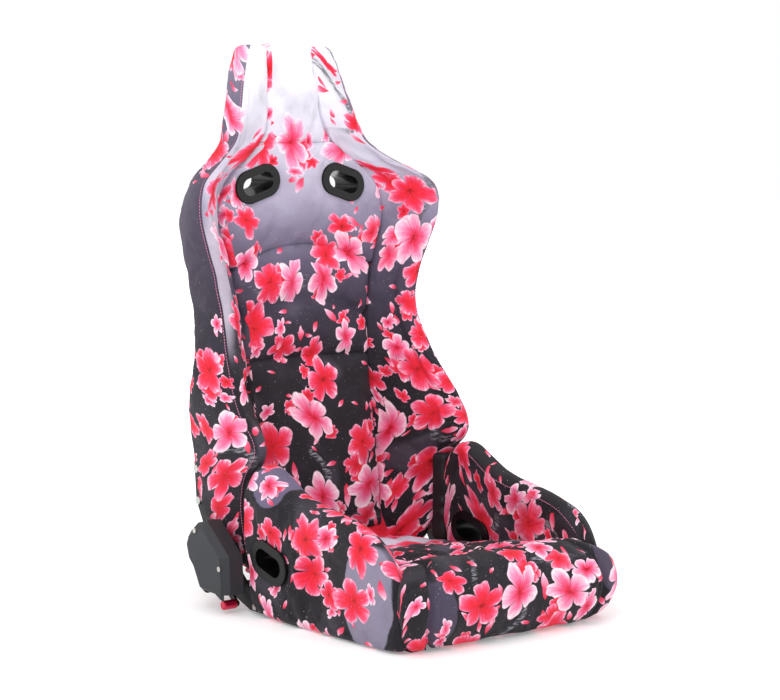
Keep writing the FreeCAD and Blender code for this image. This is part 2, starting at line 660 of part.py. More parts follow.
export("pivot_bushes", *both(pivot_bush()))
export("rod_bushes", *both(rod_bush()))
export("pivot_bolts", *both(pivot_bolt()))
export("bracket_bolts", *each_side(bracket_bolts()))
export("cover_screws", *each_side(cover_screws()))
export("lever_springs", *both(lever_spring()))
export("spiral_springs", *both(spiral_spring()))
export("release_rod", release_rod())
export("knob_screws", *both(knob_screw()))


# ---------------------------------------------------------------- backrest frame

def side_tube_blank():
    low, high = SIDE_TUBE_BOTTOM_Z, TOP_TUBE_Z + TUBE_R
    return rod(V(SIDE_TUBE_X, tube_y(low), low), V(SIDE_TUBE_X, tube_y(high), high), TUBE_R)


def side_tube():
    low, high = SIDE_TUBE_BOTTOM_Z, TOP_TUBE_Z + TUBE_R
    return pipe(V(SIDE_TUBE_X, tube_y(low), low), V(SIDE_TUBE_X, tube_y(high), high), TUBE_R, TUBE_WALL)


def backrest_cross_tube(z, radius):
    """Cross tube coped to both side tubes."""
    tube = pipe(V(-SIDE_TUBE_X, tube_y(z), z), V(SIDE_TUBE_X, tube_y(z), z), radius, TUBE_WALL)
    pieces = tube.cut(side_tube_blank()).cut(mirrored(side_tube_blank())).Solids
    return max(pieces, key=lambda solid: solid.Volume)


BOTTOM_TUBE_R = 8.0
LUMBAR_HALF_WIDTH = WING_INNER[0][1] - SOFT_GAP
HEAD_TUBE_LOW = (342.0, 660.0)
HEAD_TUBE_HIGH_Y = 372.0


def head_frame():
    """Two legs and a bridge that carry the head pad, coped to the top tube."""
    low_y, low_z = HEAD_TUBE_LOW
    legs = [V(-HEAD_TUBE_X, low_y, low_z), V(-HEAD_TUBE_X, HEAD_TUBE_HIGH_Y, HEAD_TUBE_TOP_Z),
            V(HEAD_TUBE_X, HEAD_TUBE_HIGH_Y, HEAD_TUBE_TOP_Z), V(HEAD_TUBE_X, low_y, low_z)]
    top = rod_x(tube_y(TOP_TUBE_Z), TOP_TUBE_Z, TUBE_R, -SIDE_TUBE_X, SIDE_TUBE_X)
    return bent_rod(legs, HEAD_TUBE_R).cut(top)


def suspension_wires():
    """Wires between the side tubes that carry the lumbar pad, bowed back at both ends."""
    wires = []
    for z in (250.0, 330.0, 410.0):
        end_x = SIDE_TUBE_X - TUBE_R
        rear_y = max(at(PANEL_FRONT, z) + PAD_DEPTH + SPRING_WIRE_R + 2, tube_y(z))
        points = [V(-end_x, tube_y(z), z), V(-LUMBAR_HALF_WIDTH, rear_y, z), V(LUMBAR_HALF_WIDTH, rear_y, z),
                  V(end_x, tube_y(z), z)]
        wires.append(bent_rod(points, SPRING_WIRE_R).cut(side_tube_blank()).cut(mirrored(side_tube_blank())))
    return wires


# ---------------------------------------------------------------- backrest upholstery and shell

def panel_profile(low, high, depth):
    """Side outline of a centre pad, its front on the panel line and its back at a depth behind it."""
    inner = [z for z, _ in PANEL_FRONT if low < z < high]
    heights = [low] + inner + [high]
    front = [(at(PANEL_FRONT, z), z) for z in heights]
    return front + [(y + depth, z) for y, z in reversed(front)]


def centre_pad(low, high, depth, half_widths):
    """Pad met from its side outline and a front outline of (z, half-width) rows."""
    front = [(half, z) for z, half in half_widths]
    outline = front + [(-half, z) for half, z in reversed(front)]
    reach = max(half for _, half in half_widths)
    return prism_x(panel_profile(low, high, depth), -reach, reach).common(prism_y(outline, 200, 420))


def lumbar_pad():
    low, high = LUMBAR_BOTTOM_Z, MID_PAD_BOTTOM_Z - SOFT_GAP
    pad = centre_pad(low, high, PAD_DEPTH, [(low, LUMBAR_HALF_WIDTH), (high, LUMBAR_HALF_WIDTH)])
    recess = box((-SIDE_TUBE_X, SIDE_TUBE_X), (tube_y(BOTTOM_TUBE_Z) - BOTTOM_TUBE_R - 1, 420),
                 (BOTTOM_TUBE_Z - BOTTOM_TUBE_R - 1, BOTTOM_TUBE_Z + BOTTOM_TUBE_R + 1))
    return pad.cut(recess)


def mid_pad():
    low, high = MID_PAD_BOTTOM_Z, UPPER_PAD_BOTTOM_Z - SOFT_GAP
    return centre_pad(low, high, PAD_DEPTH, [(z, at(WING_INNER, z) - SOFT_GAP) for z in (low, 522, high)])


def shoulder_tool(size, x_centre, y_start, y_end):
    """Round-ended prism along Y at a shoulder opening; its outer end dips."""
    tool = stadium(size[0], size[1], y_end - y_start)
    tool.rotate(V(0, 0, 0), V(0, 1, 0), -SHOULDER_TILT)
    tool.translate(V(SHOULDER_CENTRE[0], y_start, SHOULDER_CENTRE[1]))
    return tool if x_centre > 0 else mirrored(tool)


def upper_pad():
    """Shoulder pad with both harness openings, recessed over the top tube."""
    low, high = UPPER_PAD_BOTTOM_Z, HEAD_PAD_BOTTOM_Z - SOFT_GAP
    rows = [(z, at(WING_INNER, z) - SOFT_GAP) for z in (low, 690, 722, 745, high)]
    pad = centre_pad(low, high, UPPER_PAD_DEPTH, rows)
    pad = pad.cut(box((-SIDE_TUBE_X, SIDE_TUBE_X), (tube_y(TOP_TUBE_Z) - TUBE_R - 1.5, 420),
                      (TOP_TUBE_Z - TUBE_R - 1, TOP_TUBE_Z + TUBE_R + 1)))
    for side in SIDES.values():
        pad = pad.cut(shoulder_tool(sleeve_size(SHOULDER_SLOT, SOFT_GAP), side, 280, 420))
    return pad


def headrest_pad():
    low, high = HEAD_PAD_BOTTOM_Z, SHELL_CENTRE[-1][0] + 2
    rows = [(low, 144), (782, 136), (850, 117), (900, 106), (high, 92)]
    return centre_pad(low, high, HEAD_PAD_DEPTH, rows)


RIDGE_BACK_STEP = 20.0
RIDGE_INSET = 9.0
WING_REAR_STEP = 20.0
WING_ROOT_DEPTH = 8.0


def wing():
    """Side wing: level outlines from the centre panel out to the ridge and back along the side."""
    sections = []
    for z, front_y in WING_FRONT:
        inner, outer = at(WING_INNER, z), at(WING_OUTER, z)
        face = at(PANEL_FRONT, z)
        ridge = outer - RIDGE_INSET
        sections.append([V(inner, face, z), V(ridge, front_y, z), V(outer, front_y + RIDGE_BACK_STEP, z),
                         V(outer, max(tube_y(min(z, TOP_TUBE_Z)) - WING_REAR_STEP, front_y + 22), z),
                         V(inner, face + WING_ROOT_DEPTH, z)])
    return loft(sections)


def back_shell():
    """Thin rear shell: a flat middle and sides that come forward, open for the harness."""
    sections = []
    for z in sorted({row[0] for row in SHELL_EDGE} | {row[0] for row in SHELL_HALF_WIDTH}):
        half, edge = at(SHELL_HALF_WIDTH, z), at(SHELL_EDGE, z)
        centre = at(SHELL_CENTRE, z)
        flat = min(SHELL_FLAT_HALF_WIDTH, 0.72 * half)
        rear = [V(-half, edge, z), V(-flat, centre, z), V(flat, centre, z), V(half, edge, z)]
        front = [point - V(0, SHELL_THICKNESS, 0) for point in reversed(rear)]
        sections.append(rear + front)
    shell = loft(sections)
    for side in SIDES.values():
        shell = shell.cut(shoulder_tool(sleeve_size(SHOULDER_SLOT, SOFT_GAP), side, 280, 420))
    return shell


SHOULDER_FRONT_Y = 314.5
SHOULDER_REAR_Y = 372.8


def shoulder_bezel(front):
    """Flanged liner of a shoulder opening; the front one has the sleeve up to the rear one."""
    passage = shoulder_tool(SHOULDER_SLOT, 1, 280, 420)
    if front:
        flange = shoulder_tool(SHOULDER_FLANGE, 1, SHOULDER_FRONT_Y - FLANGE_THICKNESS, SHOULDER_FRONT_Y)
        face = SHOULDER_FRONT_Y - FLANGE_THICKNESS
        sleeve = shoulder_tool(sleeve_size(SHOULDER_SLOT, 0), 1, SHOULDER_FRONT_Y, SHOULDER_REAR_Y)
    else:
        flange = shoulder_tool(SHOULDER_FLANGE, 1, SHOULDER_REAR_Y, SHOULDER_REAR_Y + FLANGE_THICKNESS)
        face = SHOULDER_REAR_Y + FLANGE_THICKNESS
        sleeve = None
    rim = [edge for edge in flange.Edges if abs(edge.CenterOfMass.y - face) < 0.01]
    flange = flange.makeFillet(FLANGE_ROUND, rim)
    body = flange.fuse(sleeve) if sleeve else flange
    return body.cut(passage).removeSplitter()


for name, side in SIDES.items():
    export("side_tube_" + name, for_side(side_tube(), side))
    export("upper_plate_" + name, for_side(upper_plate(), side))
    export("wing_" + name, for_side(wing(), side))
    export("shoulder_bezel_front_" + name, for_side(shoulder_bezel(True), side))
    export("shoulder_bezel_rear_" + name, for_side(shoulder_bezel(False), side))
export("backrest_top_tube", backrest_cross_tube(TOP_TUBE_Z, TUBE_R))
export("backrest_bottom_tube", backrest_cross_tube(BOTTOM_TUBE_Z, BOTTOM_TUBE_R))
export("head_frame", head_frame())
export("hinge_spacers", *each_side(spacers()))
export("spacer_bolts", *each_side(spacer_bolts()))
export("suspension_wires", *suspension_wires())
export("lumbar_pad", lumbar_pad())
export("mid_pad", mid_pad())
export("upper_pad", upper_pad())
export("headrest_pad", headrest_pad())
export("back_shell", back_shell())
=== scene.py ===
"""Looks of the reclining sports seat: printed covers, bezels, hinge covers and frame finishes."""

import logging
import math
from dataclasses import dataclass
from enum import Enum
from typing import Sequence

import bmesh
import bpy
import numpy as np
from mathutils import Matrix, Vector


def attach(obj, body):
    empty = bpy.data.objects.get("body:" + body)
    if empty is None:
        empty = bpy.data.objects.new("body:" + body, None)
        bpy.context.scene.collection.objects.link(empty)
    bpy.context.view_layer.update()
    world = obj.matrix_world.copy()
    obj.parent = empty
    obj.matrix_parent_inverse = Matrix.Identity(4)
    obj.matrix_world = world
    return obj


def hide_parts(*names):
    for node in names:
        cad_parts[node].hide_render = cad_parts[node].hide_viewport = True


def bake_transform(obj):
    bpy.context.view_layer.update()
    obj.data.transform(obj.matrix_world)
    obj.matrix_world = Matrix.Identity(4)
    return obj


log = logging.getLogger("seat")
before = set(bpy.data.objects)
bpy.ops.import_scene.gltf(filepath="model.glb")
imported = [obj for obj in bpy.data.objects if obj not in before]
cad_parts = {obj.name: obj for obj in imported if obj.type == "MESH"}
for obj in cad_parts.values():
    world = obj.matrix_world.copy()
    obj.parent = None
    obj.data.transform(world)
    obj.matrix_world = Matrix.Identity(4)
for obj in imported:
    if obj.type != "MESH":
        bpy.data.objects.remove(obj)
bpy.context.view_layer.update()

Array = np.ndarray
Colour = tuple[float, float, float]
BACKREST = "backrest"
BASE = "base"


def srgb(red: int, green: int, blue: int) -> Colour:
    """Linear colour of an 8-bit display colour.

    Args:
        red: Red from 0 to 255.
        green: Green from 0 to 255.
        blue: Blue from 0 to 255.
    Returns:
        The three linear channels from 0 to 1.
    """
    return tuple(((c / 255 + 0.055) / 1.055) ** 2.4 if c > 10 else c / 3294.6 for c in (red, green, blue))


class Side(Enum):
    """Side of the occupant, as a sign of X."""

    LEFT = 1
    RIGHT = -1

    @property
    def label(self) -> str:
        """Name used in nodes and pieces."""
        return self.name.lower()


# ------------------------------------------------------------------ shader expressions


class Wire:
    """A value or colour socket, or a number, that takes part in expressions."""

    def __init__(self, shop: "Shop", socket: object) -> None:
        """Keeps the material's node shop and the socket."""
        self.shop = shop
        self.socket = socket

    def _math(self, operation: str, *others: object) -> "Wire":
        """Adds a Math node on this value and the others."""
        return self.shop.add("ShaderNodeMath", {"operation": operation}, self, *others)

    def __add__(self, other: object) -> "Wire":
        """Sum."""
        return self._math("ADD", other)

    __radd__ = __add__

    def __sub__(self, other: object) -> "Wire":
        """Difference."""
        return self._math("SUBTRACT", other)

    def __rsub__(self, other: float) -> "Wire":
        """Reflected difference."""
        return self.shop.add("ShaderNodeMath", {"operation": "SUBTRACT"}, other, self)

    def __mul__(self, other: object) -> "Wire":
        """Product."""
        return self._math("MULTIPLY", other)

    __rmul__ = __mul__

    def __truediv__(self, other: object) -> "Wire":
        """Quotient."""
        return self._math("DIVIDE", other)

    def __pow__(self, other: float) -> "Wire":
        """Power."""
        return self._math("POWER", other)

    def __gt__(self, other: object) -> "Wire":
        """One where this is greater."""
        return self._math("GREATER_THAN", other)

    def __abs__(self) -> "Wire":
        """Absolute value."""
        return self._math("ABSOLUTE")

    def call(self, operation: str, *others: object) -> "Wire":
        """Any other Math operation, by name."""
        return self._math(operation, *others)

    def band(self, low: float, high: float) -> "Wire":
        """Smooth step from 0 at low to 1 at high.

        Args:
            low: Value that gives 0.
            high: Value that gives 1; it may be below low.
        Returns:
            The stepped value.
        """
        settings = {"interpolation_type": "SMOOTHSTEP", "clamp": True}
        limits = {"From Min": low, "From Max": high}
        return self.shop.add("ShaderNodeMapRange", settings, Value=self, **limits)


class Shop:
    """Adds nodes to one material."""

    def __init__(self, name: str) -> None:
        """Makes an empty node material."""
        self.material = bpy.data.materials.new(name)
        self.material.use_nodes = True
        self.tree = self.material.node_tree
        self.tree.nodes.clear()

    def add(self, kind: str, settings: dict | None = None, *values: object, out: object = 0,
            **named: object) -> Wire:
        """Adds one node.

        Args:
            kind: The node's type.
            settings: Properties of the node, set before its sockets; "stops" holds a ramp's stops.
            values: Values or wires of the first sockets, in order.
            out: Name or number of the output that is returned.
            named: Values or wires of sockets by name.
        Returns:
            A wire of the chosen output.
        """
        node = self.tree.nodes.new(kind)
        for key, value in (settings or {}).items():
            if key == "stops":
                self._stops(node, value)
            else:
                setattr(node, key, value)
        for index, value in enumerate(values):
            self._feed(node.inputs[index], value)
        for key, value in named.items():
            self._feed(node.inputs[key], value)
        return Wire(self, node.outputs[out])

    @staticmethod
    def _stops(node: bpy.types.Node, stops: Sequence[tuple[float, Colour]]) -> None:
        """Writes the stops of a colour ramp.

        Args:
            node: The ramp's node.
            stops: Places from 0 to 1 with their colours.
        """
        elements = node.color_ramp.elements
        while len(elements) < len(stops):
            elements.new(0.5)
        for element, (place, colour) in zip(elements, stops):
            element.position = place
            element.color = (*colour, 1.0)

    def _feed(self, socket: bpy.types.NodeSocket, value: object) -> None:
        """Links a wire to a socket or sets its value.

        Args:
            socket: Input of a node.
            value: A wire, or a constant that the socket takes.
        """
        if isinstance(value, Wire):
            self.tree.links.new(value.socket, socket)
        elif isinstance(value, tuple) and socket.type == "RGBA":
            socket.default_value = (*value, 1.0)
        else:
            socket.default_value = value

    def ramp(self, value: Wire, stops: Sequence[tuple[float, Colour]]) -> Wire:
        """Colour ramp of a value."""
        return self.add("ShaderNodeValToRGB", {"stops": stops}, value)

    def mix(self, factor: Wire | float, low: Wire | Colour, high: Wire | Colour) -> Wire:
        """Colour between low and high.

        Args:
            factor: 0 for low, 1 for high.
            low: First colour.
            high: Second colour.
        Returns:
            The mixed colour.
        """
        node = self.tree.nodes.new("ShaderNodeMix")
        node.data_type = "RGBA"
        for index, value in ((0, factor), (6, low), (7, high)):
            self._feed(node.inputs[index], value)
        return Wire(self, node.outputs[2])

    def vector(self, operation: str, *values: object, out: object = 0) -> Wire:
        """Vector Math node."""
        return self.add("ShaderNodeVectorMath", {"operation": operation}, *values, out=out)

    def split(self, vector: Wire) -> list[Wire]:
        """X, Y and Z of a vector or colour.

        Args:
            vector: Wire of the vector or colour.
        Returns:
            Its three channels.
        """
        node = self.tree.nodes.new("ShaderNodeSeparateXYZ")
        self._feed(node.inputs[0], vector)
        return [Wire(self, output) for output in node.outputs]

    def join(self, x: object, y: object, z: object = 0.0) -> Wire:
        """Vector of three values."""
        return self.add("ShaderNodeCombineXYZ", None, x, y, z)

    def noise(self, place: Wire, scale: float, detail: float = 2.0, roughness: float = 0.5,
              out: object = 0) -> Wire:
        """Noise texture."""
        return self.add("ShaderNodeTexNoise", None, Vector=place, Scale=scale, Detail=detail,
                        Roughness=roughness, out=out)

    def surface(self, constants: dict, bump: Wire | None = None, depth: float = 0.001,
                **varying: object) -> bpy.types.Material:
        """Closes the material with its shader.

        Args:
            constants: Values of the shader's own sockets.
            bump: Height that varies over the surface.
            depth: Distance of the bump in metres.
            varying: Wires of sockets, underscores for spaces.
        Returns:
            The finished material.
        """
        sockets = dict(constants)
        sockets.update({key.replace("_", " "): value for key, value in varying.items()})
        if bump is not None:
            sockets["Normal"] = self.add("ShaderNodeBump", None, Strength=1.0, Distance=depth, Height=bump)
        shader = self.add("ShaderNodeBsdfPrincipled", None, **sockets)
        output = self.tree.nodes.new("ShaderNodeOutputMaterial")
        self.tree.links.new(shader.socket, output.inputs[0])
        return self.material


# ------------------------------------------------------------------ finishes


@dataclass(frozen=True)
class Spot:
    """Soft oval region of a cover, in two of the object's directions."""

    axes: tuple[int, int]
    centre: tuple[float, float]
    half: tuple[float, float]
    colour: Colour | None = None
    strength: float = 1.0
    side: int = 0
    soft: float = 0.25

    def inside(self, shop: Shop, solid: Wire) -> Wire:
        """How far each place lies inside the oval.

        Args:
            shop: Node shop of the material.
            solid: Place in metres, on the seat or on the print map.
        Returns:
            The strength inside, 0 outside, eased over the soft share; side keeps it to one sign of X.
        """
        place = shop.split(solid)
        spread = None
        for axis, centre, half in zip(self.axes, self.centre, self.half):
            share = (place[axis] - centre) / half
            spread = share * share if spread is None else spread + share * share
        mask = spread.call("SQRT").band(1.0 + self.soft, 1.0 - self.soft) * self.strength
        return mask * ((place[0] * self.side) > 0.0) if self.side else mask


@dataclass(frozen=True)
class Cell:
    """What a print layer knows at a place: where it lies in its cell, and the cell's own numbers."""

    along: Wire
    across: Wire
    home: Wire
    chance: Wire
    turn: Wire
    size: Wire

    def shown(self, shop: Shop, share: float, clear: Sequence[Spot], mask: Wire) -> Wire:
        """Takes away the figures of most cells and of the cells kept clear.

        Args:
            shop: Node shop of the material.
            share: Share of the cells that show a figure.
            clear: Regions of the print map without figures; a figure goes as a whole, by its centre.
            mask: Mask of the figure in every cell.
        Returns:
            The mask of the figures that are left.
        """
        mask = mask * (self.chance > 1.0 - share)
        for spot in clear:
            mask = mask * (1.0 - (spot.inside(shop, self.home) > 0.5))
        return mask


def scattered(shop: Shop, place: Wire, cell: float, shift: tuple[float, float], spread: float) -> Cell:
    """Splits the print map into cells around scattered centres.

    Each place belongs to its nearest centre; it is measured from there in cells, along and across a direction
    that is the cell's own.

    Args:
        shop: Node shop of the material.
        place: Pattern coordinates in metres.
        cell: Size of a cell in metres.
        shift: Shift of the pattern in cells.
        spread: How far the centres stray from even rows, 0 to 1.
    Returns:
        The place in its cell.
    """
    start = (*shift, 0.0)
    scaled = shop.vector("MULTIPLY_ADD", place, (1 / cell,) * 3, start)
    node = shop.add("ShaderNodeTexVoronoi", {"voronoi_dimensions": "2D"}, Vector=scaled, Scale=1.0,
                    Randomness=spread).socket.node
    centre = Wire(shop, node.outputs["Position"])
    dx, dy, _ = shop.split(shop.vector("SUBTRACT", scaled, centre))
    chance, turn, size = shop.split(Wire(shop, node.outputs["Color"]))
    lean = turn * 6.283
    along = dx * lean.call("COSINE") + dy * lean.call("SINE")
    across = dy * lean.call("COSINE") - dx * lean.call("SINE")
    home = shop.vector("MULTIPLY", shop.vector("SUBTRACT", centre, start), (cell,) * 3)
    return Cell(along, across, home, chance, turn, size)


@dataclass(frozen=True)
class Blossoms:
    """One layer of five-petal blossoms, each in its own cell."""

    RED = ((0.0, srgb(150, 10, 26)), (0.10, srgb(214, 26, 40)), (0.50, srgb(232, 40, 66)),
           (0.74, srgb(236, 74, 112)), (0.92, srgb(243, 140, 174)), (1.0, srgb(250, 208, 222)))
    PALE = ((0.0, srgb(178, 14, 36)), (0.16, srgb(226, 44, 78)), (0.42, srgb(234, 96, 140)),
            (0.68, srgb(242, 150, 186)), (0.88, srgb(248, 200, 218)), (1.0, srgb(253, 232, 240)))
    CREASE = srgb(186, 30, 66)

    cell: float
    radius: float
    chance: float
    shift: float
    only: Spot | None = None

    def lay(self, shop: Shop, place: Wire, clear: Sequence[Spot], under: Wire) -> Wire:
        """Paints the layer over a colour.

        A blossom's outline is a five-lobed curve of the angle; its colour runs from a red heart through pink
        to pale tips, with streaks along the petals and a dark crease between them. Some are red, some pale.

        Args:
            shop: Node shop of the material.
            place: Pattern coordinates in metres.
            clear: Regions of the print map that get none of them.
            under: Colour below.
        Returns:
            Colour with the layer on it.
        """
        cell = scattered(shop, place, self.cell, (self.shift, self.shift * 1.7), 0.62)
        across = cell.across * (1.0 + cell.size * 0.8)
        reach = (cell.along * cell.along + across * across).call("SQRT")
        angle = across.call("ARCTAN2", cell.along) + cell.chance * 5.0
        lobe = abs((angle * 2.5).call("COSINE"))
        uneven = shop.noise(shop.join(angle * 0.8, cell.turn * 9.0, cell.size * 5.0), 1.6, 1.0)
        outline = (lobe ** 0.42 * 0.58 + 0.36) * (uneven * 0.75 + cell.size * 0.35 + 0.42) * self.radius
        share = reach / outline
        streak = shop.noise(shop.join(angle * 2.6, share * 0.5, cell.turn * 9.0), 3.4, 4.0, 0.6)
        wash = shop.noise(place, 34.0, 3.0, 0.6)
        mask = cell.shown(shop, self.chance, clear, share.band(1.0, 0.94))
        if self.only:
            mask = mask * (self.only.inside(shop, cell.home) > 0.5)
        level = share + (streak - 0.5) * 0.6 + (wash - 0.5) * 0.5
        tone = shop.mix(cell.size.band(0.60, 0.70), shop.ramp(level, self.RED), shop.ramp(level, self.PALE))
        crease = lobe.band(0.34, 0.0) * share.band(0.1, 0.4) * 0.7
        return shop.mix(mask, under, shop.mix(crease, tone, self.CREASE))


@dataclass(frozen=True)
class Petals:
    """One layer of loose petals and buds."""

    TONES = ((0.0, srgb(214, 32, 52)), (0.45, srgb(236, 84, 120)), (0.8, srgb(248, 170, 198)),
             (1.0, srgb(255, 235, 242)))
    cell: float
    length: float
    chance: float
    shift: float

    def lay(self, shop: Shop, place: Wire, clear: Sequence[Spot], under: Wire) -> Wire:
        """Paints pointed ovals, turned at random, over a colour.

        Args:
            shop: Node shop of the material.
            place: Pattern coordinates in metres.
            clear: Regions of the print map that get none of them.
            under: Colour below.
        Returns:
            Colour with the petals on it.
        """
        cell = scattered(shop, place, self.cell, (self.shift, self.shift * 2.3), 0.75)
        reach = (cell.size * 0.6 + 0.7) * self.length
        share = cell.along / reach
        width = (1.0 - share * share).call("MAXIMUM", 0.0) * reach * 0.42
        mask = cell.shown(shop, self.chance, clear, (width - abs(cell.across)).band(0.0, 0.03))
        return shop.mix(mask, under, shop.ramp(share * 0.5 + 0.5, self.TONES))


@dataclass(frozen=True)
class Fade:
    """Ground colour of a printed cover over its height.

    The coloured spots are placed in the seat's directions, the places kept clear of print on the print map.
    One spot of the back is a painted highlight on a wing.
    """

    name: str
    stops: tuple[tuple[float, Colour], ...]
    low: float
    high: float
    patches: float = 0.0
    spots: tuple[Spot, ...] = ()
    clear: tuple[Spot, ...] = ()


BLACK = srgb(30, 27, 33)
SLATE = srgb(74, 66, 84)
MAUVE = srgb(128, 120, 140)
NEAR_WHITE = srgb(232, 230, 238)

BACK_FADE = Fade(
    "printed_back", ((0.0, BLACK), (0.40, BLACK), (0.51, srgb(54, 48, 62)), (0.62, srgb(88, 80, 102)),
                     (0.69, srgb(134, 126, 150)), (0.765, srgb(180, 173, 194)), (0.86, srgb(208, 203, 218)),
                     (0.95, NEAR_WHITE)),
    0.0, 0.93, patches=0.25,
    # painted highlight: pale spot on the front of the wing at negative X, on the side where the key light
    # falls
    spots=(Spot((0, 2), (-0.215, 0.60), (0.035, 0.16), srgb(206, 196, 212), 0.75),),
    clear=(Spot((0, 1), (0.0, 0.90), (0.085, 0.085)), Spot((0, 1), (-0.350, 0.93), (0.045, 0.10)),
           Spot((0, 1), (0.0, 0.662), (0.11, 0.040)), Spot((0, 1), (0.330, 0.80), (0.05, 0.06))))
BAND_FADE = Fade(
    "printed_band", ((0.0, BLACK), (0.42, srgb(36, 32, 40)), (0.62, srgb(66, 59, 74)),
                     (0.80, srgb(82, 75, 92)), (0.92, srgb(104, 97, 118)), (1.0, MAUVE)),
    0.0, 0.93, patches=0.15,
    clear=(Spot((0, 1), (-0.42, 0.60), (0.12, 0.12)), Spot((0, 1), (0.42, 0.60), (0.12, 0.12))))
SEAT_FADE = Fade(
    "printed_seat", ((0.0, BLACK), (1.0, BLACK)), 0.0, 0.26, patches=0.12,
    spots=(Spot((1, 2), (-0.168, 0.075), (0.055, 0.088), srgb(136, 129, 150), side=-1, soft=0.03),
           Spot((1, 2), (0.080, 0.222), (0.042, 0.032), srgb(104, 95, 122), side=-1, soft=0.05)),
    clear=(Spot((0, 1), (-1.085, 0.045), (0.030, 0.040)),))
NOSE_FADE = Fade(
    "printed_nose", ((0.0, BLACK), (1.0, BLACK)), 0.0, 0.26, patches=0.1,
    spots=(Spot((0, 2), (-0.160, 0.062), (0.026, 0.052), srgb(72, 64, 84), soft=0.04),
           Spot((0, 2), (0.196, 0.10), (0.018, 0.045), SLATE, soft=0.05)))
CUSHION_FADE = Fade(
    "printed_cushion", ((0.0, BLACK), (1.0, BLACK)), 0.0, 0.26, patches=0.3,
    spots=(Spot((0, 1), (0.02, 0.115), (0.125, 0.11), SLATE),
           Spot((0, 1), (0.03, 0.13), (0.125, 0.080), MAUVE, soft=0.1),
           Spot((0, 1), (0.045, 0.150), (0.115, 0.060), srgb(204, 198, 214), soft=0.15)),
    clear=(Spot((0, 1), (1.755, 0.145), (0.12, 0.060)),))


@dataclass(frozen=True)
class PrintedFabric:
    """Stretch fabric with the blossom print over a fading ground."""

    fade: Fade
    layers: tuple[object, ...] = (
        Petals(0.034, 0.30, 0.45, 3.1), Blossoms(0.046, 0.40, 0.42, 1.9), Blossoms(0.070, 0.50, 0.52, 4.3),
        Petals(0.055, 0.28, 0.35, 7.7), Blossoms(0.104, 0.52, 0.62, 0.4))

    def material(self) -> bpy.types.Material:
        """Builds the material from the piece's print map and its place on the seat.

        The ground fades with the height, with soft spots, patches and a wash over it, then twigs, then the
        layers from small to large; one spot of the back is a painted highlight. The bump is the knit, a
        product of two sines, with grain and slack.

        Returns:
            The finished material.
        """
        shop = Shop(self.fade.name)
        place = shop.add("ShaderNodeUVMap", {"uv_map": "print"})
        solid = shop.add("ShaderNodeTexCoord", None, out="Object")
        height = shop.split(solid)[2]
        drift = shop.noise(solid, 5.0, 2.0)
        level = (height - self.fade.low) / (self.fade.high - self.fade.low) + (drift - 0.5) * 0.12
        colour = shop.ramp(level, list(self.fade.stops))
        # spots of the ground colour; on the back one of them is a painted highlight on a wing
        for spot in self.fade.spots:
            colour = shop.mix(spot.inside(shop, solid), colour, spot.colour)
        patch = shop.noise(place, 7.5, 1.0).band(0.56, 0.66) * self.fade.patches
        colour = shop.mix(patch, colour, MAUVE)
        wash = shop.noise(place, 26.0, 4.0, 0.6)
        colour = shop.mix(wash.band(0.45, 0.8) * 0.22, colour, SLATE)
        colour = self._branches(shop, place, colour)
        shift = shop.vector("SUBTRACT", shop.noise(place, 30.0, 2.0, out=1), (0.5, 0.5, 0.5))
        wobble = shop.vector("MULTIPLY_ADD", shift, (0.016,) * 3, place)
        for layer in self.layers:
            colour = layer.lay(shop, wobble, self.fade.clear, colour)
        speck = shop.noise(place, 420.0, 1.0).band(0.74, 0.77)
        colour = shop.mix(speck * 0.7, colour, srgb(240, 205, 220))
        u, v, _ = shop.split(place)
        knit = (u * 5200.0).call("SINE") * (v * 5200.0).call("SINE")
        grain = shop.noise(place, 900.0, 2.0)
        slack = shop.noise(solid, 14.0, 2.0)
        return shop.surface(
            {"Sheen Weight": 0.05, "Sheen Roughness": 0.45, "Specular IOR Level": 0.25},
            bump=knit * 0.12 + grain * 0.35 + slack * 2.2, depth=0.0009,
            Base_Color=colour, Roughness=grain * 0.16 + 0.66)

    def _branches(self, shop: Shop, place: Wire, ground: Wire) -> Wire:
        """Brushed twigs along the level lines of a slow noise, only in places.

        Args:
            shop: Node shop of the material.
            place: Pattern coordinates in metres.
            ground: Colour below.
        Returns:
            Colour with the twigs on it.
        """
        lines = shop.noise(place, 5.5, 0.6, 0.5)
        rough = shop.noise(shop.vector("MULTIPLY", place, (60.0, 240.0, 1.0)), 1.0, 3.0, 0.7)
        line = abs(lines - 0.5).band(0.022, 0.010)
        where = shop.noise(place, 7.0, 0.0).band(0.56, 0.60)
        mask = line * where * rough.band(0.36, 0.50)
        for spot in self.fade.clear:
            mask = mask * (1.0 - spot.inside(shop, place))
        tone = shop.mix(rough.band(0.45, 0.62), srgb(44, 42, 50), srgb(150, 150, 160))
        return shop.mix(mask * 0.9, ground, tone)


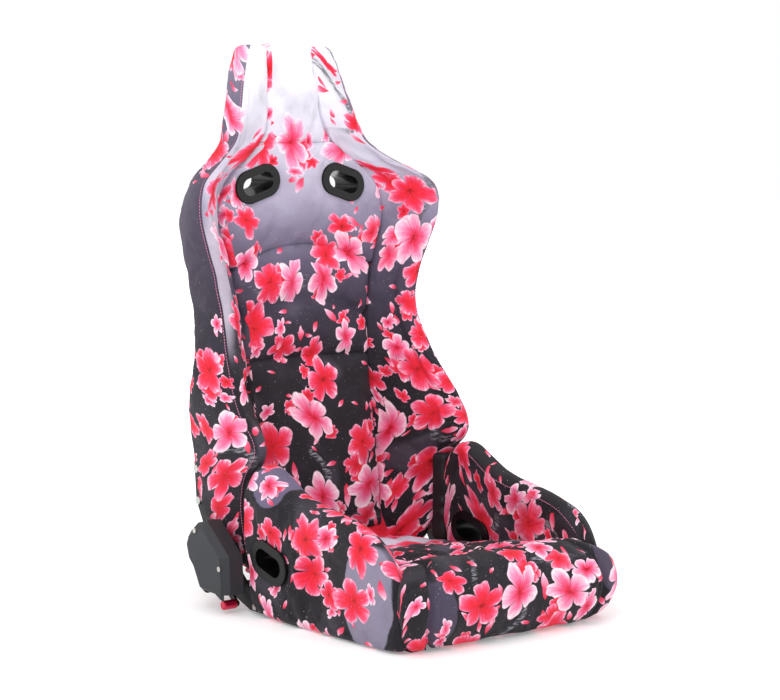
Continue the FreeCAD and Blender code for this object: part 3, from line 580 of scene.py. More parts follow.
@dataclass(frozen=True)
class Moulding:
    """Moulded plastic or coated metal with fine texture, dusty tone and scratches."""

    name: str
    colour: Colour
    roughness: float
    metallic: float = 0.0
    grain: float = 900.0
    depth: float = 0.00015
    coat: float = 0.0
    shine: float = 0.3

    def material(self) -> bpy.types.Material:
        """Builds the material from noise on the piece's own coordinates.

        Returns:
            The finished material.
        """
        shop = Shop(self.name)
        solid = shop.add("ShaderNodeTexCoord", None, out="Object")
        fine = shop.noise(solid, self.grain, 3.0, 0.6)
        dust = shop.noise(solid, 22.0, 4.0, 0.6)
        light = tuple(min(1.0, channel * 1.3 + 0.003) for channel in self.colour)
        colour = shop.mix(dust.band(0.35, 0.75) * 0.5, self.colour, light)
        drawn = shop.vector("MULTIPLY", solid, (30.0, 500.0, 90.0))
        scratch = shop.noise(drawn, 1.0, 2.0).band(0.68, 0.72)
        roughness = dust * 0.12 + fine * 0.08 + (self.roughness - 0.1) + scratch * 0.08
        constants = {"Metallic": self.metallic, "Coat Weight": self.coat, "Coat Roughness": 0.12,
                     "Specular IOR Level": self.shine}
        return shop.surface(constants, bump=fine + scratch * 0.25, depth=self.depth, Base_Color=colour,
                            Roughness=roughness)


# ------------------------------------------------------------------ surfaces


def smooth_table(rows: Sequence[tuple[float, float]], places: Array, width: float = 0.02) -> Array:
    """Values of a (place, value) table at places, with its corners rounded.

    The straight-line table is averaged over a few neighbours within a width on either side.

    Args:
        rows: Table of places and values.
        places: Where to read it.
        width: Half the rounding width.
    Returns:
        Values at the places.
    """
    table = np.array(rows)
    offsets = np.linspace(-width, width, 9)
    weights = np.cos(offsets / width * math.pi / 2) + 0.05
    samples = np.interp(places[:, None] + offsets[None, :], table[:, 0], table[:, 1])
    return samples @ (weights / weights.sum())


def spline_ring(corners: Array, count: int) -> Array:
    """Closed cubic B-spline rings from rings of corner points.

    Each point is the usual blend of four neighbouring corners with the uniform cubic weights.

    Args:
        corners: Rings of corner points, shape (rings, corners, 2).
        count: Points per ring.
    Returns:
        Points of shape (rings, count, 2).
    """
    number = corners.shape[1]
    place = np.linspace(0, number, count, endpoint=False)
    base = np.floor(place).astype(int)
    t = place - base
    weights = np.stack([(1 - t) ** 3, 3 * t ** 3 - 6 * t ** 2 + 4,
                        -3 * t ** 3 + 3 * t ** 2 + 3 * t + 1, t ** 3]) / 6
    return sum(weights[k][None, :, None] * corners[:, (base + k - 1) % number] for k in range(4))


def grid_piece(name: str, points: Array, uv: Array, poles: bool = True) -> bpy.types.Object:
    """Closed tube from a grid of rings, with its print map.

    Args:
        name: Piece name.
        points: Ring points, shape (rings, around, 3); each ring is closed.
        uv: Print map of shape (rings, around + 1, 2), with the first column repeated at its unrolled place.
        poles: Whether the end rings are closed with a point at their centres.
    Returns:
        The new object.
    """
    rings, around, _ = points.shape
    row = np.arange(rings - 1)[:, None]
    column = np.arange(around)[None, :]
    following = (column + 1) % around
    quads = np.stack([row * around + column, row * around + following,
                      (row + 1) * around + following, (row + 1) * around + column], -1).reshape(-1, 4)
    quad_uv = np.stack([uv[:-1, :-1], uv[:-1, 1:], uv[1:, 1:], uv[1:, :-1]], 2).reshape(-1, 2)
    vertices = points.reshape(-1, 3)
    faces = quads.tolist()
    loops_uv = [quad_uv]
    if poles:
        tip = len(vertices)
        vertices = np.vstack([vertices, points[0].mean(0), points[-1].mean(0)])
        first = np.stack([np.full(around, tip), following[0], column[0]], -1)
        base = (rings - 1) * around
        last = np.stack([np.full(around, tip + 1), base + column[0], base + following[0]], -1)
        faces += first.tolist() + last.tolist()
        for ring, order in ((0, (1, 0)), (-1, (0, 1))):
            middle = uv[ring].mean(0)
            pair = (uv[ring, :-1], uv[ring, 1:])
            fan = np.stack([np.broadcast_to(middle, pair[0].shape), pair[order[0]], pair[order[1]]], 1)
            loops_uv.append(fan.reshape(-1, 2))
    mesh = bpy.data.meshes.new(name)
    mesh.from_pydata(vertices.tolist(), [], faces)
    layer = mesh.uv_layers.new(name="print")
    layer.data.foreach_set("uv", np.vstack(loops_uv).astype(np.float32).ravel())
    mesh.polygons.foreach_set("use_smooth", np.ones(len(mesh.polygons), dtype=bool))
    mesh.update()
    face_outwards(mesh)
    piece = bpy.data.objects.new(name, mesh)
    bpy.context.collection.objects.link(piece)
    return piece


def face_outwards(mesh: bpy.types.Mesh) -> None:
    """Turns a closed mesh so that its signed volume is positive.

    Args:
        mesh: The mesh to turn.
    """
    work = bmesh.new()
    work.from_mesh(mesh)
    if work.calc_volume(signed=True) < 0:
        bmesh.ops.reverse_faces(work, faces=work.faces)
    work.to_mesh(mesh)
    work.free()


def end_profile(low: float, high: float, radius: float, steps: int) -> tuple[Array, Array]:
    """Places along a padded piece and how far its ring shrinks there.

    The ends are quarter circles of the radius, the middle is even steps.

    Args:
        low: First place.
        high: Last place.
        radius: Radius of the rounded ends.
        steps: Rings in the middle part.
    Returns:
        Places, and the inset of the ring at each.
    """
    turn = np.linspace(0, math.pi / 2, 7)[:-1]
    ends = radius * (1 - np.sin(turn))
    middle = np.linspace(low + radius, high - radius, steps)
    run = radius * (1 - np.cos(turn))
    places = np.concatenate([low + run, middle, (high - run)[::-1]])
    insets = np.concatenate([ends, np.zeros(steps), ends[::-1]])
    return places, insets


def rounded_ring(half: Array, depth: Array, radius: Array, per_side: int, per_end: int) -> Array:
    """Rings shaped as a rounded rectangle, as fractions across and distances deep.

    Args:
        half: Half-width of each ring.
        depth: Depth of each ring.
        radius: Corner radius of each ring.
        per_side: Points along the front and the back.
        per_end: Points around each corner.
    Returns:
        Points (rings, around, 2) of distance across from the middle and depth from the front.
    """
    corner = np.linspace(0, math.pi / 2, per_end)
    across = np.linspace(-1, 1, per_side)[None, :]
    flat = (half - radius)[:, None]
    radius = radius[:, None]
    depth = depth[:, None]
    front = np.stack([across * flat, np.zeros_like(across * flat)], -1)
    back = np.stack([-across * flat, np.broadcast_to(depth, (len(half), per_side))], -1)
    sin, cos = np.sin(corner)[None, :], np.cos(corner)[None, :]
    front_right = np.stack([flat + radius * sin, radius * (1 - cos)], -1)
    back_right = np.stack([flat + radius * cos, depth - radius * (1 - sin)], -1)
    front_left = np.stack([-flat - radius * cos, radius * (1 - sin)], -1)
    back_left = np.stack([-flat - radius * sin, depth - radius * (1 - cos)], -1)
    return np.concatenate([front, front_right[:, 1:], back_right[:, 1:], back[:, 1:], back_left[:, 1:],
                           front_left[:, 1:-1]], 1)


def unrolled(points: Array) -> Array:
    """Distance around each closed ring, as the running sum of its steps.

    Args:
        points: Rings of points, shape (rings, around, 2 or 3).
    Returns:
        Distances of shape (rings, around + 1), the last column for the closing edge.
    """
    closed = np.concatenate([points, points[:, :1]], 1)
    steps = np.linalg.norm(np.diff(closed, axis=1), axis=2)
    return np.concatenate([np.zeros((len(points), 1)), np.cumsum(steps, 1)], 1)


def valley(distance: Array, width: float) -> Array:
    """Rounded groove profile: 1 on the seam, falling as a bell over the width."""
    return np.exp(-(distance / width) ** 2)


# ------------------------------------------------------------------ sewing


@dataclass(frozen=True)
class Stitching:
    """Row of short stitches along a line on the cover."""

    name: str
    pitch: float = 0.0052
    length: float = 0.0036
    thread: float = 0.00055

    def build(self, path: Array, outward: Array) -> bpy.types.Object:
        """Lays six-sided stitches along a path, each a short tube of four rings that dips at both ends.

        Args:
            path: Points of the seam, shape (n, 3).
            outward: Direction off the cover at each point.
        Returns:
            One piece with all stitches.
        """
        steps = np.linalg.norm(np.diff(path, axis=0), axis=1)
        distance = np.concatenate([[0], np.cumsum(steps)])
        starts = np.arange(0, distance[-1] - self.length, self.pitch)

        def along(places: Array, values: Array) -> Array:
            """Values at distances along the path."""
            return np.stack([np.interp(places, distance, values[:, k]) for k in range(3)], -1)

        first, last = along(starts, path), along(starts + self.length, path)
        lift = along(starts + self.length / 2, outward)
        lift /= np.linalg.norm(lift, axis=1, keepdims=True)
        forward = last - first
        forward /= np.linalg.norm(forward, axis=1, keepdims=True)
        side = np.cross(forward, lift)
        turn = np.arange(6) * math.pi / 3
        stations = np.array([0.0, 0.18, 0.82, 1.0])
        girth = np.array([0.35, 1.0, 1.0, 0.35]) * self.thread
        height = np.array([-0.4, 0.6, 0.6, -0.4]) * self.thread
        centre = (first[:, None] + (last - first)[:, None] * stations[None, :, None] +
                  lift[:, None] * height[None, :, None])
        ring = (side[:, None, None] * np.cos(turn)[None, None, :, None] +
                lift[:, None, None] * np.sin(turn)[None, None, :, None]) * girth[None, :, None, None]
        vertices = (centre[:, :, None] + ring).reshape(-1, 3)
        pattern = [[a * 6 + b, a * 6 + (b + 1) % 6, (a + 1) * 6 + (b + 1) % 6, (a + 1) * 6 + b]
                   for a in range(3) for b in range(6)]
        bases = np.arange(len(starts)) * 24
        sides = (np.array(pattern)[None] + bases[:, None, None]).reshape(-1, 4).tolist()
        caps = [list(range(base + 5, base - 1, -1)) for base in bases.tolist()]
        caps += [list(range(base + 18, base + 24)) for base in bases.tolist()]
        mesh = bpy.data.meshes.new(self.name)
        mesh.from_pydata(vertices.tolist(), [], sides + caps)
        mesh.update()
        piece = bpy.data.objects.new(self.name, mesh)
        bpy.context.collection.objects.link(piece)
        return piece


@dataclass(frozen=True)
class Filling:
    """Cloth simulation that lets a cover swell and crease between its held seams."""

    pressure: float = 3.0
    growth: float = 0.02
    frames: int = 16
    limit: float = 0.008

    def settle(self, piece: bpy.types.Object, hold: Array) -> None:
        """Runs the simulation and keeps its shape, moved by no more than the limit.

        Args:
            piece: Closed cover at rest.
            hold: True at the points that stay, one per point of the rings.
        """
        scene = bpy.context.scene
        rest = np.empty(len(piece.data.vertices) * 3)
        piece.data.vertices.foreach_get("co", rest)
        rest = rest.reshape(-1, 3)
        kept = np.concatenate([hold.ravel(), np.ones(len(rest) - hold.size, dtype=bool)])
        group = piece.vertex_groups.new(name="hold")
        group.add(np.flatnonzero(kept).tolist(), 1.0, "REPLACE")
        change = piece.modifiers.new("filling", "CLOTH")
        cloth = change.settings
        cloth.quality = 5
        cloth.mass = 0.25
        cloth.tension_stiffness = 18
        cloth.compression_stiffness = 10
        cloth.shear_stiffness = 8
        cloth.bending_stiffness = 0.4
        cloth.use_pressure = True
        cloth.uniform_pressure_force = self.pressure
        cloth.shrink_min = -self.growth
        cloth.vertex_group_mass = group.name
        cloth.effector_weights.gravity = 0
        change.collision_settings.use_collision = False
        change.point_cache.frame_start, change.point_cache.frame_end = 1, self.frames
        for number in range(1, self.frames + 1):
            scene.frame_set(number)
        swollen = np.empty(rest.size)
        shape = piece.evaluated_get(bpy.context.evaluated_depsgraph_get())
        shape.data.vertices.foreach_get("co", swollen)
        shift = swollen.reshape(-1, 3) - rest
        length = np.linalg.norm(shift, axis=1, keepdims=True)
        shift *= np.minimum(1, self.limit / np.maximum(length, 1e-9))
        piece.modifiers.clear()
        piece.vertex_groups.clear()
        scene.frame_set(1)
        piece.data.vertices.foreach_set("co", (rest + shift).ravel())
        piece.data.update()
        average = 1000 * np.linalg.norm(shift, axis=1).mean()
        log.info("%s settled by %.1f mm on average", piece.name, average)


class Finishes:
    """All materials of the seat, made once."""

    def __init__(self) -> None:
        """Builds the printed fabrics and the plain finishes."""
        posy = Blossoms(0.076, 0.62, 1.0, 2.6, Spot((0, 1), (-0.01, 0.545), (0.13, 0.050)))
        self.back = PrintedFabric(BACK_FADE, (*PrintedFabric.layers, posy)).material()
        self.band = PrintedFabric(BAND_FADE).material()
        self.seat = PrintedFabric(SEAT_FADE).material()
        self.nose = PrintedFabric(NOSE_FADE).material()
        self.insert = PrintedFabric(CUSHION_FADE).material()
        self.bezel = Moulding("bezel_black", srgb(8, 8, 9), 0.26, depth=0.00005, coat=0.05,
                              shine=0.16).material()
        self.cover = Moulding("cover_grey", srgb(48, 50, 54), 0.55, grain=1500.0).material()
        self.knob = Moulding("knob_red", srgb(196, 16, 62), 0.3, metallic=0.65, depth=0.00003,
                             coat=0.5).material()
        self.paint = Moulding("frame_black", srgb(22, 22, 25), 0.42, depth=0.00008).material()
        self.zinc = Moulding("zinc", srgb(176, 176, 172), 0.34, metallic=1.0, depth=0.00004).material()
        self.bronze = Moulding("bronze", srgb(170, 128, 74), 0.36, metallic=1.0, depth=0.00004).material()
        self.thread = Moulding("thread_pink", srgb(214, 132, 168), 0.7, depth=0.00002).material()
        self.shell = Moulding("shell_black", srgb(20, 20, 23), 0.55, grain=420.0, depth=0.0003).material()
        self.trim = Moulding("trim_black", srgb(28, 28, 31), 0.6, grain=700.0).material()


# ------------------------------------------------------------------ padded pieces

# Lines of the backrest, each as (height, value) in metres: where the middle panel's front, the wings'
# ridge and the side's rear lie in Y, how far out the wings' inner foot and the covers reach in X, and how
# far the shoulders draw in at the rear.
PANEL_FRONT = ((0.085, 0.250), (0.200, 0.265), (0.350, 0.290), (0.482, 0.305), (0.600, 0.312),
               (0.706, 0.316), (0.820, 0.330), (0.930, 0.345))
WING_RIDGE_Y = ((0.065, 0.204), (0.108, 0.186), (0.180, 0.180), (0.225, 0.164), (0.250, 0.138),
                (0.272, 0.118), (0.300, 0.130), (0.335, 0.162), (0.366, 0.188), (0.410, 0.216),
                (0.440, 0.232), (0.470, 0.244), (0.522, 0.254), (0.585, 0.247), (0.640, 0.241),
                (0.690, 0.240), (0.716, 0.252), (0.735, 0.276), (0.763, 0.300), (0.820, 0.318),
                (0.950, 0.345))
WING_INNER_X = ((0.108, 0.134), (0.470, 0.134), (0.522, 0.145), (0.570, 0.154), (0.610, 0.166),
                (0.640, 0.173), (0.675, 0.173), (0.700, 0.164), (0.722, 0.146), (0.745, 0.116),
                (0.770, 0.080), (0.820, 0.057), (0.950, 0.046))
HALF_WIDTH = ((0.078, 0.200), (0.100, 0.206), (0.125, 0.218), (0.172, 0.226), (0.293, 0.238),
              (0.326, 0.243), (0.366, 0.236), (0.412, 0.226), (0.460, 0.217), (0.505, 0.216),
              (0.560, 0.229), (0.582, 0.239), (0.645, 0.262), (0.680, 0.265), (0.700, 0.259),
              (0.716, 0.248), (0.735, 0.210), (0.763, 0.165), (0.782, 0.144), (0.820, 0.130),
              (0.850, 0.122), (0.885, 0.113), (0.920, 0.101), (0.950, 0.088))
REAR_TUCK = ((0.50, 0.0), (0.58, 0.003), (0.62, 0.012), (0.655, 0.018), (0.685, 0.030), (0.708, 0.036),
             (0.735, 0.020), (0.765, 0.006), (0.80, 0.002), (0.95, 0.0))
SIDE_REAR_Y = ((0.092, 0.304), (0.240, 0.312), (0.412, 0.318), (0.505, 0.334), (0.582, 0.334),
               (0.658, 0.328), (0.716, 0.331), (0.744, 0.342), (0.782, 0.356), (0.850, 0.370),
               (0.950, 0.382))


@dataclass(frozen=True)
class Groove:
    """Sewn seam across a panel: its height at the middle, how far it arches, its depth and width."""

    place: float
    arch: float = 0.0
    depth: float = 0.005
    width: float = 0.006


@dataclass(frozen=True)
class Wrinkles:
    """Soft unevenness of a stuffed cover, as a sum of slow waves."""

    height: float = 0.0012
    length: float = 0.11
    phase: float = 0.0

    def at(self, u: Array, v: Array) -> Array:
        """Height of the waves: three sines of growing frequency, each across its own slant.

        Args:
            u: First coordinate of the places.
            v: Second coordinate of the places.
        Returns:
            Heights in metres.
        """
        k = 2 * math.pi / self.length
        waves = (np.sin(k * (u + 0.31 * v) + self.phase)
                 + np.sin(k * 1.37 * (v - 0.24 * u) + 1.9 * self.phase + 1.0)
                 + 0.6 * np.sin(k * 2.3 * (u - 0.7 * v) + 2.7 * self.phase))
        return self.height * waves / 2.6


@dataclass(frozen=True)
class FlangeSeat:
    """Place where a bezel's flange presses the padding flat."""

    centre: tuple[float, float]
    size: tuple[float, float]
    tilt: float
    level: float
    soft: float = 0.016

    def press(self, height: Array, across: Array, up: Array) -> Array:
        """Heights with the seat pressed in.

        Inside the flange's rounded outline the height is the seat's level; outside it eases back to the cover
        over the soft width.

        Args:
            height: Heights of the cover.
            across: First coordinate in the flange's plane.
            up: Second coordinate in the flange's plane.
        Returns:
            The pressed heights.
        """
        lean = math.radians(self.tilt)
        a, b = across - self.centre[0], up - self.centre[1]
        long = a * math.cos(lean) + b * math.sin(lean)
        short = b * math.cos(lean) - a * math.sin(lean)
        run = (self.size[0] - self.size[1]) / 2
        away = np.hypot(np.maximum(np.abs(long) - run, 0), short) - self.size[1] / 2
        ease = np.clip(away / self.soft, 0, 1)
        ease = ease * ease * (3 - 2 * ease)
        return self.level + (height - self.level) * ease


def cover(piece: bpy.types.Object, body: str, fabric: bpy.types.Material, node: str) -> None:
    """Gives a padded piece its fabric and body, and hides the CAD node that it stands for.

    Args:
        piece: The padded piece.
        body: Body that it moves with.
        fabric: Its printed fabric.
        node: CAD node that it replaces.
    """
    piece.data.materials.append(fabric)
    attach(piece, body)
    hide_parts(node)
    log.info("%s has %d faces", piece.name, len(piece.data.polygons))


@dataclass(frozen=True)
class Pad:
    """Padded panel that lies on the middle of the backrest."""

    ACROSS = 61
    name: str
    low: float
    high: float
    half: tuple[tuple[float, float], ...]
    node: str
    depth: float = 0.036
    radius: float = 0.013
    crown: float = 0.010
    dish: float = 0.012
    lift: float = 0.0
    bow_low: float = 0.0
    bow_high: float = 0.0
    grooves: tuple[Groove, ...] = ()
    seats: tuple[FlangeSeat, ...] = ()
    phase: float = 0.0

    def build(self) -> bpy.types.Object:
        """Makes the panel.

        Each level has a rounded-rectangle ring. Its front follows the panel line of the backrest, bulges by
        the crown, comes forward at the sides by the dish and sinks along the grooves; levels bow between the
        ends.

        Returns:
            The panel, settled between its seams.
        """
        steps = int((self.high - self.low) / 0.004)
        places, insets = end_profile(self.low, self.high, self.radius, steps)
        half = smooth_table(self.half, places, 0.012)
        radius = np.maximum(self.radius - insets, 0.002)
        ring = rounded_ring(half - insets, self.depth - 2 * insets, radius, self.ACROSS, 7)
        share = ring[..., 0] / half[:, None]
        front = 1 - np.clip(ring[..., 1] / self.depth, 0, 1)
        middle = 1 - share ** 2
        along = (places - self.low) / (self.high - self.low)
        z = places[:, None] + middle * (self.bow_low * (1 - along) + self.bow_high * along)[:, None]
        y = np.interp(places, *np.array(PANEL_FRONT).T)[:, None] + insets[:, None] + ring[..., 1]
        puff = np.sin(np.pi * np.clip(along, 0, 1)) ** 0.5
        y = y - front * (self.crown * puff[:, None] * middle ** 0.7 + self.dish * share ** 2 + self.lift)
        for groove in self.grooves:
            away = z - groove.place - groove.arch * middle
            y = y + front * groove.depth * valley(away, groove.width)
        around = unrolled(ring)
        middle_column = self.ACROSS // 2
        u = around - around[:, middle_column:middle_column + 1]
        v = np.concatenate([z, z[:, :1]], 1)
        y = y - front * Wrinkles(0.0018, 0.10, self.phase).at(u[:, :-1], z)
        for seat in self.seats:
            y = np.where(front > 0.5, seat.press(y, ring[..., 0], z), y)
        points = np.stack([ring[..., 0], y, z], -1)
        piece = grid_piece(self.name, points, np.stack([u, v], -1))
        hold = (front < 0.6) | (np.abs(share) > 0.97) | (insets[:, None] > 0.006)
        for groove in self.grooves:
            hold |= np.abs(z - groove.place - groove.arch * middle) < 0.004
        for seat in self.seats:
            hold |= np.abs(y - seat.level) < 0.0004
        Filling().settle(piece, hold)
        return piece


class Wing:
    """Side bolster of the backrest, from the hinge up along the head."""

    LOW, HIGH = 0.067, 0.945
    AROUND, CORNERS, RIDGE = 132, 11, 5

    def __init__(self, side: Side) -> None:
        """Keeps the side."""
        self.side = side

    def corners(self, z: Array) -> Array:
        """Corner points of the section at each height, for the left side.

        They run from the inner rear over the ridge and the side to the rear again. Those between the panel
        and the ridge are shares of the ridge's width and height above the panel.

        Args:
            z: Heights of the sections.
        Returns:
            Points of X and Y, shape (heights, corners, 2).
        """
        inner = smooth_table(WING_INNER_X, z, 0.03)
        outer = smooth_table(HALF_WIDTH, z, 0.02)
        panel = smooth_table(PANEL_FRONT, z, 0.03)
        ridge_y = smooth_table(WING_RIDGE_Y, z, 0.022)
        rear = smooth_table(SIDE_REAR_Y, z, 0.02)
        tuck = smooth_table(REAR_TUCK, z, 0.02)
        crest = outer - 0.010 - 0.08 * (outer - inner)
        wide, tall = crest - inner, panel - ridge_y
        rows = [(inner, panel + 0.026), (inner - 0.001, panel - 0.004),
                (inner + 0.18 * wide, panel - 0.16 * tall), (inner + 0.50 * wide, panel - 0.60 * tall),
                (inner + 0.80 * wide, ridge_y + 0.05 * tall - 0.001),
                (crest, ridge_y - 0.008), (outer + 0.004, ridge_y + 0.010),
                (outer + 0.005 - 0.45 * tuck, ridge_y * 0.5 + rear * 0.5),
                (outer + 0.004 - tuck, rear - 0.004), (outer - 0.012 - tuck, rear + 0.006),
                (inner + 0.6 * wide, panel + 0.028)]
        return np.stack([np.stack([np.broadcast_to(x, z.shape), y], -1) for x, y in rows], 1)

    def build(self) -> bpy.types.Object:
        """Makes the bolster.

        Rings are closed splines near the corners. A groove runs along the crest where front and side covers
        are sewn, another beside it up to the shoulder, and slow waves give the stuffing its unevenness.

        Returns:
            The bolster, settled between its seams.
        """
        places, insets = end_profile(self.LOW, self.HIGH, 0.012, 205)
        corners = self.corners(places)
        centre = corners.mean(1, keepdims=True)
        reach = np.linalg.norm(corners - centre, axis=2).mean(1)
        ring = centre + (spline_ring(corners, self.AROUND) - centre) * (1 - insets / reach)[:, None, None]
        tangent = np.roll(ring, -1, 1) - np.roll(ring, 1, 1)
        tangent /= np.linalg.norm(tangent, axis=2, keepdims=True)
        normal = np.stack([tangent[..., 1], -tangent[..., 0]], -1)
        if np.mean(normal[:, 0] * (ring[:, 0] - centre[:, 0])) < 0:
            normal = -normal
        around = unrolled(ring)
        crest = self.RIDGE * self.AROUND // self.CORNERS + 5
        u = around - around[:, crest:crest + 1]
        flat_u, flat_v = u[:, :-1], np.broadcast_to(places[:, None], ring.shape[:2])
        sink = 0.0030 * valley(flat_u, 0.0045)
        quilt = 0.0035 * valley(flat_u + 0.046, 0.006) * np.clip((0.66 - flat_v) / 0.05, 0, 1)
        quilt = quilt * (flat_v > 0.22)
        sink = sink + quilt - Wrinkles(0.0016, 0.13, 1.3 * self.side.value).at(flat_u, flat_v)
        ring = ring - normal * sink[..., None]
        points = np.stack([self.side.value * ring[..., 0], ring[..., 1], flat_v], -1)
        off = np.stack([self.side.value * normal[..., 0], normal[..., 1], np.zeros_like(flat_v)], -1)
        self.seam, self.seam_out = points[:, crest + 2], off[:, crest + 2]
        climb = np.linalg.norm(np.diff(points, axis=0), axis=2)
        climb = np.concatenate([np.zeros((1, climb.shape[1])), np.cumsum(climb, 0)])
        middle = np.searchsorted(places, 0.5)
        climb += 0.5 - climb[middle]
        v = np.concatenate([climb, climb[:, :1]], 1)
        print_map = np.stack([self.side.value * u + 0.37 * self.side.value, v], -1)
        piece = grid_piece(f"wing_cover_{self.side.label}", points, print_map)
        column = np.arange(self.AROUND)[None, :]
        behind = (column > self.AROUND * 8 // self.CORNERS) | (column < 14)
        hold = (np.abs(flat_u) < 0.005) | (sink > 0.0022) | behind
        Filling().settle(piece, hold | (insets[:, None] > 0.004))
        self.crest_column = crest
        return piece

    def dress(self, piece: bpy.types.Object, fabrics: Finishes) -> None:
        """Puts the front fabric before the crest, the side band behind it, and stitches along it.

        Args:
            piece: The bolster.
            fabrics: Finishes of the seat.
        """
        cover(piece, BACKREST, fabrics.back, f"wing_{self.side.label}")
        piece.data.materials.append(fabrics.band)
        rings = len(piece.data.vertices) // self.AROUND
        column = np.arange((rings - 1) * self.AROUND) % self.AROUND
        index = np.zeros(len(piece.data.polygons), dtype=np.int32)
        index[:len(column)] = (column >= self.crest_column) & (column < self.AROUND * 10 // self.CORNERS)
        piece.data.polygons.foreach_set("material_index", index)
        name = f"wing_stitch_{self.side.label}"
        stitch = Stitching(name).build(self.seam[12:-12], self.seam_out[12:-12])
        stitch.data.materials.append(fabrics.thread)
        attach(stitch, BACKREST)


@dataclass(frozen=True)
class BeltOpening:
    """Oval opening for a harness belt, with the seat of its bezel's flange around it."""

    centre: tuple[float, float, float]
    opening: tuple[float, float]
    flange: tuple[float, float]
    axis: str
    turn: float

    def seat(self, level: float) -> FlangeSeat:
        """Pressed place for the flange at a level along the opening's axis."""
        middle = self.centre[1:] if self.axis == "X" else self.centre[::2]
        return FlangeSeat(middle, self.flange, self.turn, level)

    def sleeve(self) -> bpy.types.Object:
        """Makes the rounded bar that cuts the opening.

        Its outline is two half circles with straight runs between them, turned about the axis.

        Returns:
            The cutting object.
        """
        long, short = self.opening
        angle = np.linspace(-math.pi / 2, math.pi / 2, 13)
        run = (long - short) / 2
        right = np.stack([run + short / 2 * np.cos(angle), short / 2 * np.sin(angle)], -1)
        outline = np.concatenate([right, -right])
        lean = math.radians(self.turn)
        outline = outline @ np.array([[math.cos(lean), math.sin(lean)], [-math.sin(lean), math.cos(lean)]])
        flat = np.broadcast_to(outline[None], (2, *outline.shape))
        deep = np.broadcast_to(np.array([-0.1, 0.1])[:, None], flat.shape[:2])
        order = (deep, flat[..., 0], flat[..., 1]) if self.axis == "X" else (flat[..., 0], deep, flat[..., 1])
        points = np.stack(order, -1) + np.array(self.centre)
        return grid_piece("tool", points, np.zeros((2, len(outline) + 1, 2)))

    def cut(self, piece: bpy.types.Object) -> None:
        """Cuts the opening through a piece and removes the bar.

        Args:
            piece: The piece to cut.
        """
        tool = self.sleeve()
        change = piece.modifiers.new("slot", "BOOLEAN")
        change.operation = "DIFFERENCE"
        change.object = tool
        bpy.context.view_layer.update()
        evaluated = piece.evaluated_get(bpy.context.evaluated_depsgraph_get())
        mesh = bpy.data.meshes.new_from_object(evaluated)
        piece.modifiers.clear()
        old = piece.data
        piece.data = mesh
        mesh.name = piece.name
        bpy.data.meshes.remove(old)
        bpy.data.objects.remove(tool)


SHOULDER_OPENINGS = tuple(
    BeltOpening((side.value * 0.092, 0.34, 0.706), (0.074, 0.039), (0.095, 0.058), "Y", -18.0 * side.value)
    for side in Side)
LAP_OPENINGS = {
    side: BeltOpening((side.value * 0.21, 0.070, 0.100), (0.079, 0.041), (0.100, 0.060), "X", 16.0)
    for side in Side}


@dataclass(frozen=True)
class BackShell:
    """Moulded rear shell that closes the backrest."""

    SPINE_Y = ((0.092, 0.316), (0.172, 0.324), (0.300, 0.340), (0.400, 0.352), (0.500, 0.362), (0.600, 0.368),
               (0.740, 0.374), (0.850, 0.385), (0.930, 0.391))
    low: float = 0.092
    high: float = 0.932

    def build(self, finish: bpy.types.Material) -> bpy.types.Object:
        """Makes the shell.

        Rings are lens shapes: the rear runs from the spine line at the middle to the side line at the edges
        as a fourth power of the distance across, the front lies nearly flat behind the covers.

        Args:
            finish: Its plastic.
        Returns:
            The shell, with the shoulder openings cut.
        """
        places, insets = end_profile(self.low, self.high, 0.010, 190)
        half = smooth_table(HALF_WIDTH, places) - smooth_table(REAR_TUCK, places) - 0.008 - insets
        spine = smooth_table(self.SPINE_Y, places, 0.03) - 0.4 * insets
        edge = smooth_table(SIDE_REAR_Y, places, 0.02)
        turn = np.linspace(0, math.pi, 61)
        across = np.cos(turn)[None, :]
        rear = edge[:, None] + (spine - edge)[:, None] * (1 - across ** 4)
        front = edge[:, None] - 0.012 + 0.010 * (1 - across ** 2)
        x = np.concatenate([across * half[:, None], -across[:, 1:-1] * half[:, None]], 1)
        y = np.concatenate([rear, front[:, 1:-1]], 1)
        z = np.broadcast_to(places[:, None], x.shape)
        plain = np.zeros((len(places), x.shape[1] + 1, 2))
        piece = grid_piece("rear_shell", np.stack([x, y, z], -1), plain)
        for opening in SHOULDER_OPENINGS:
            opening.cut(piece)
        piece.data.materials.clear()
        piece.data.materials.append(finish)
        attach(piece, BACKREST)
        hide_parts("back_shell")
        return piece


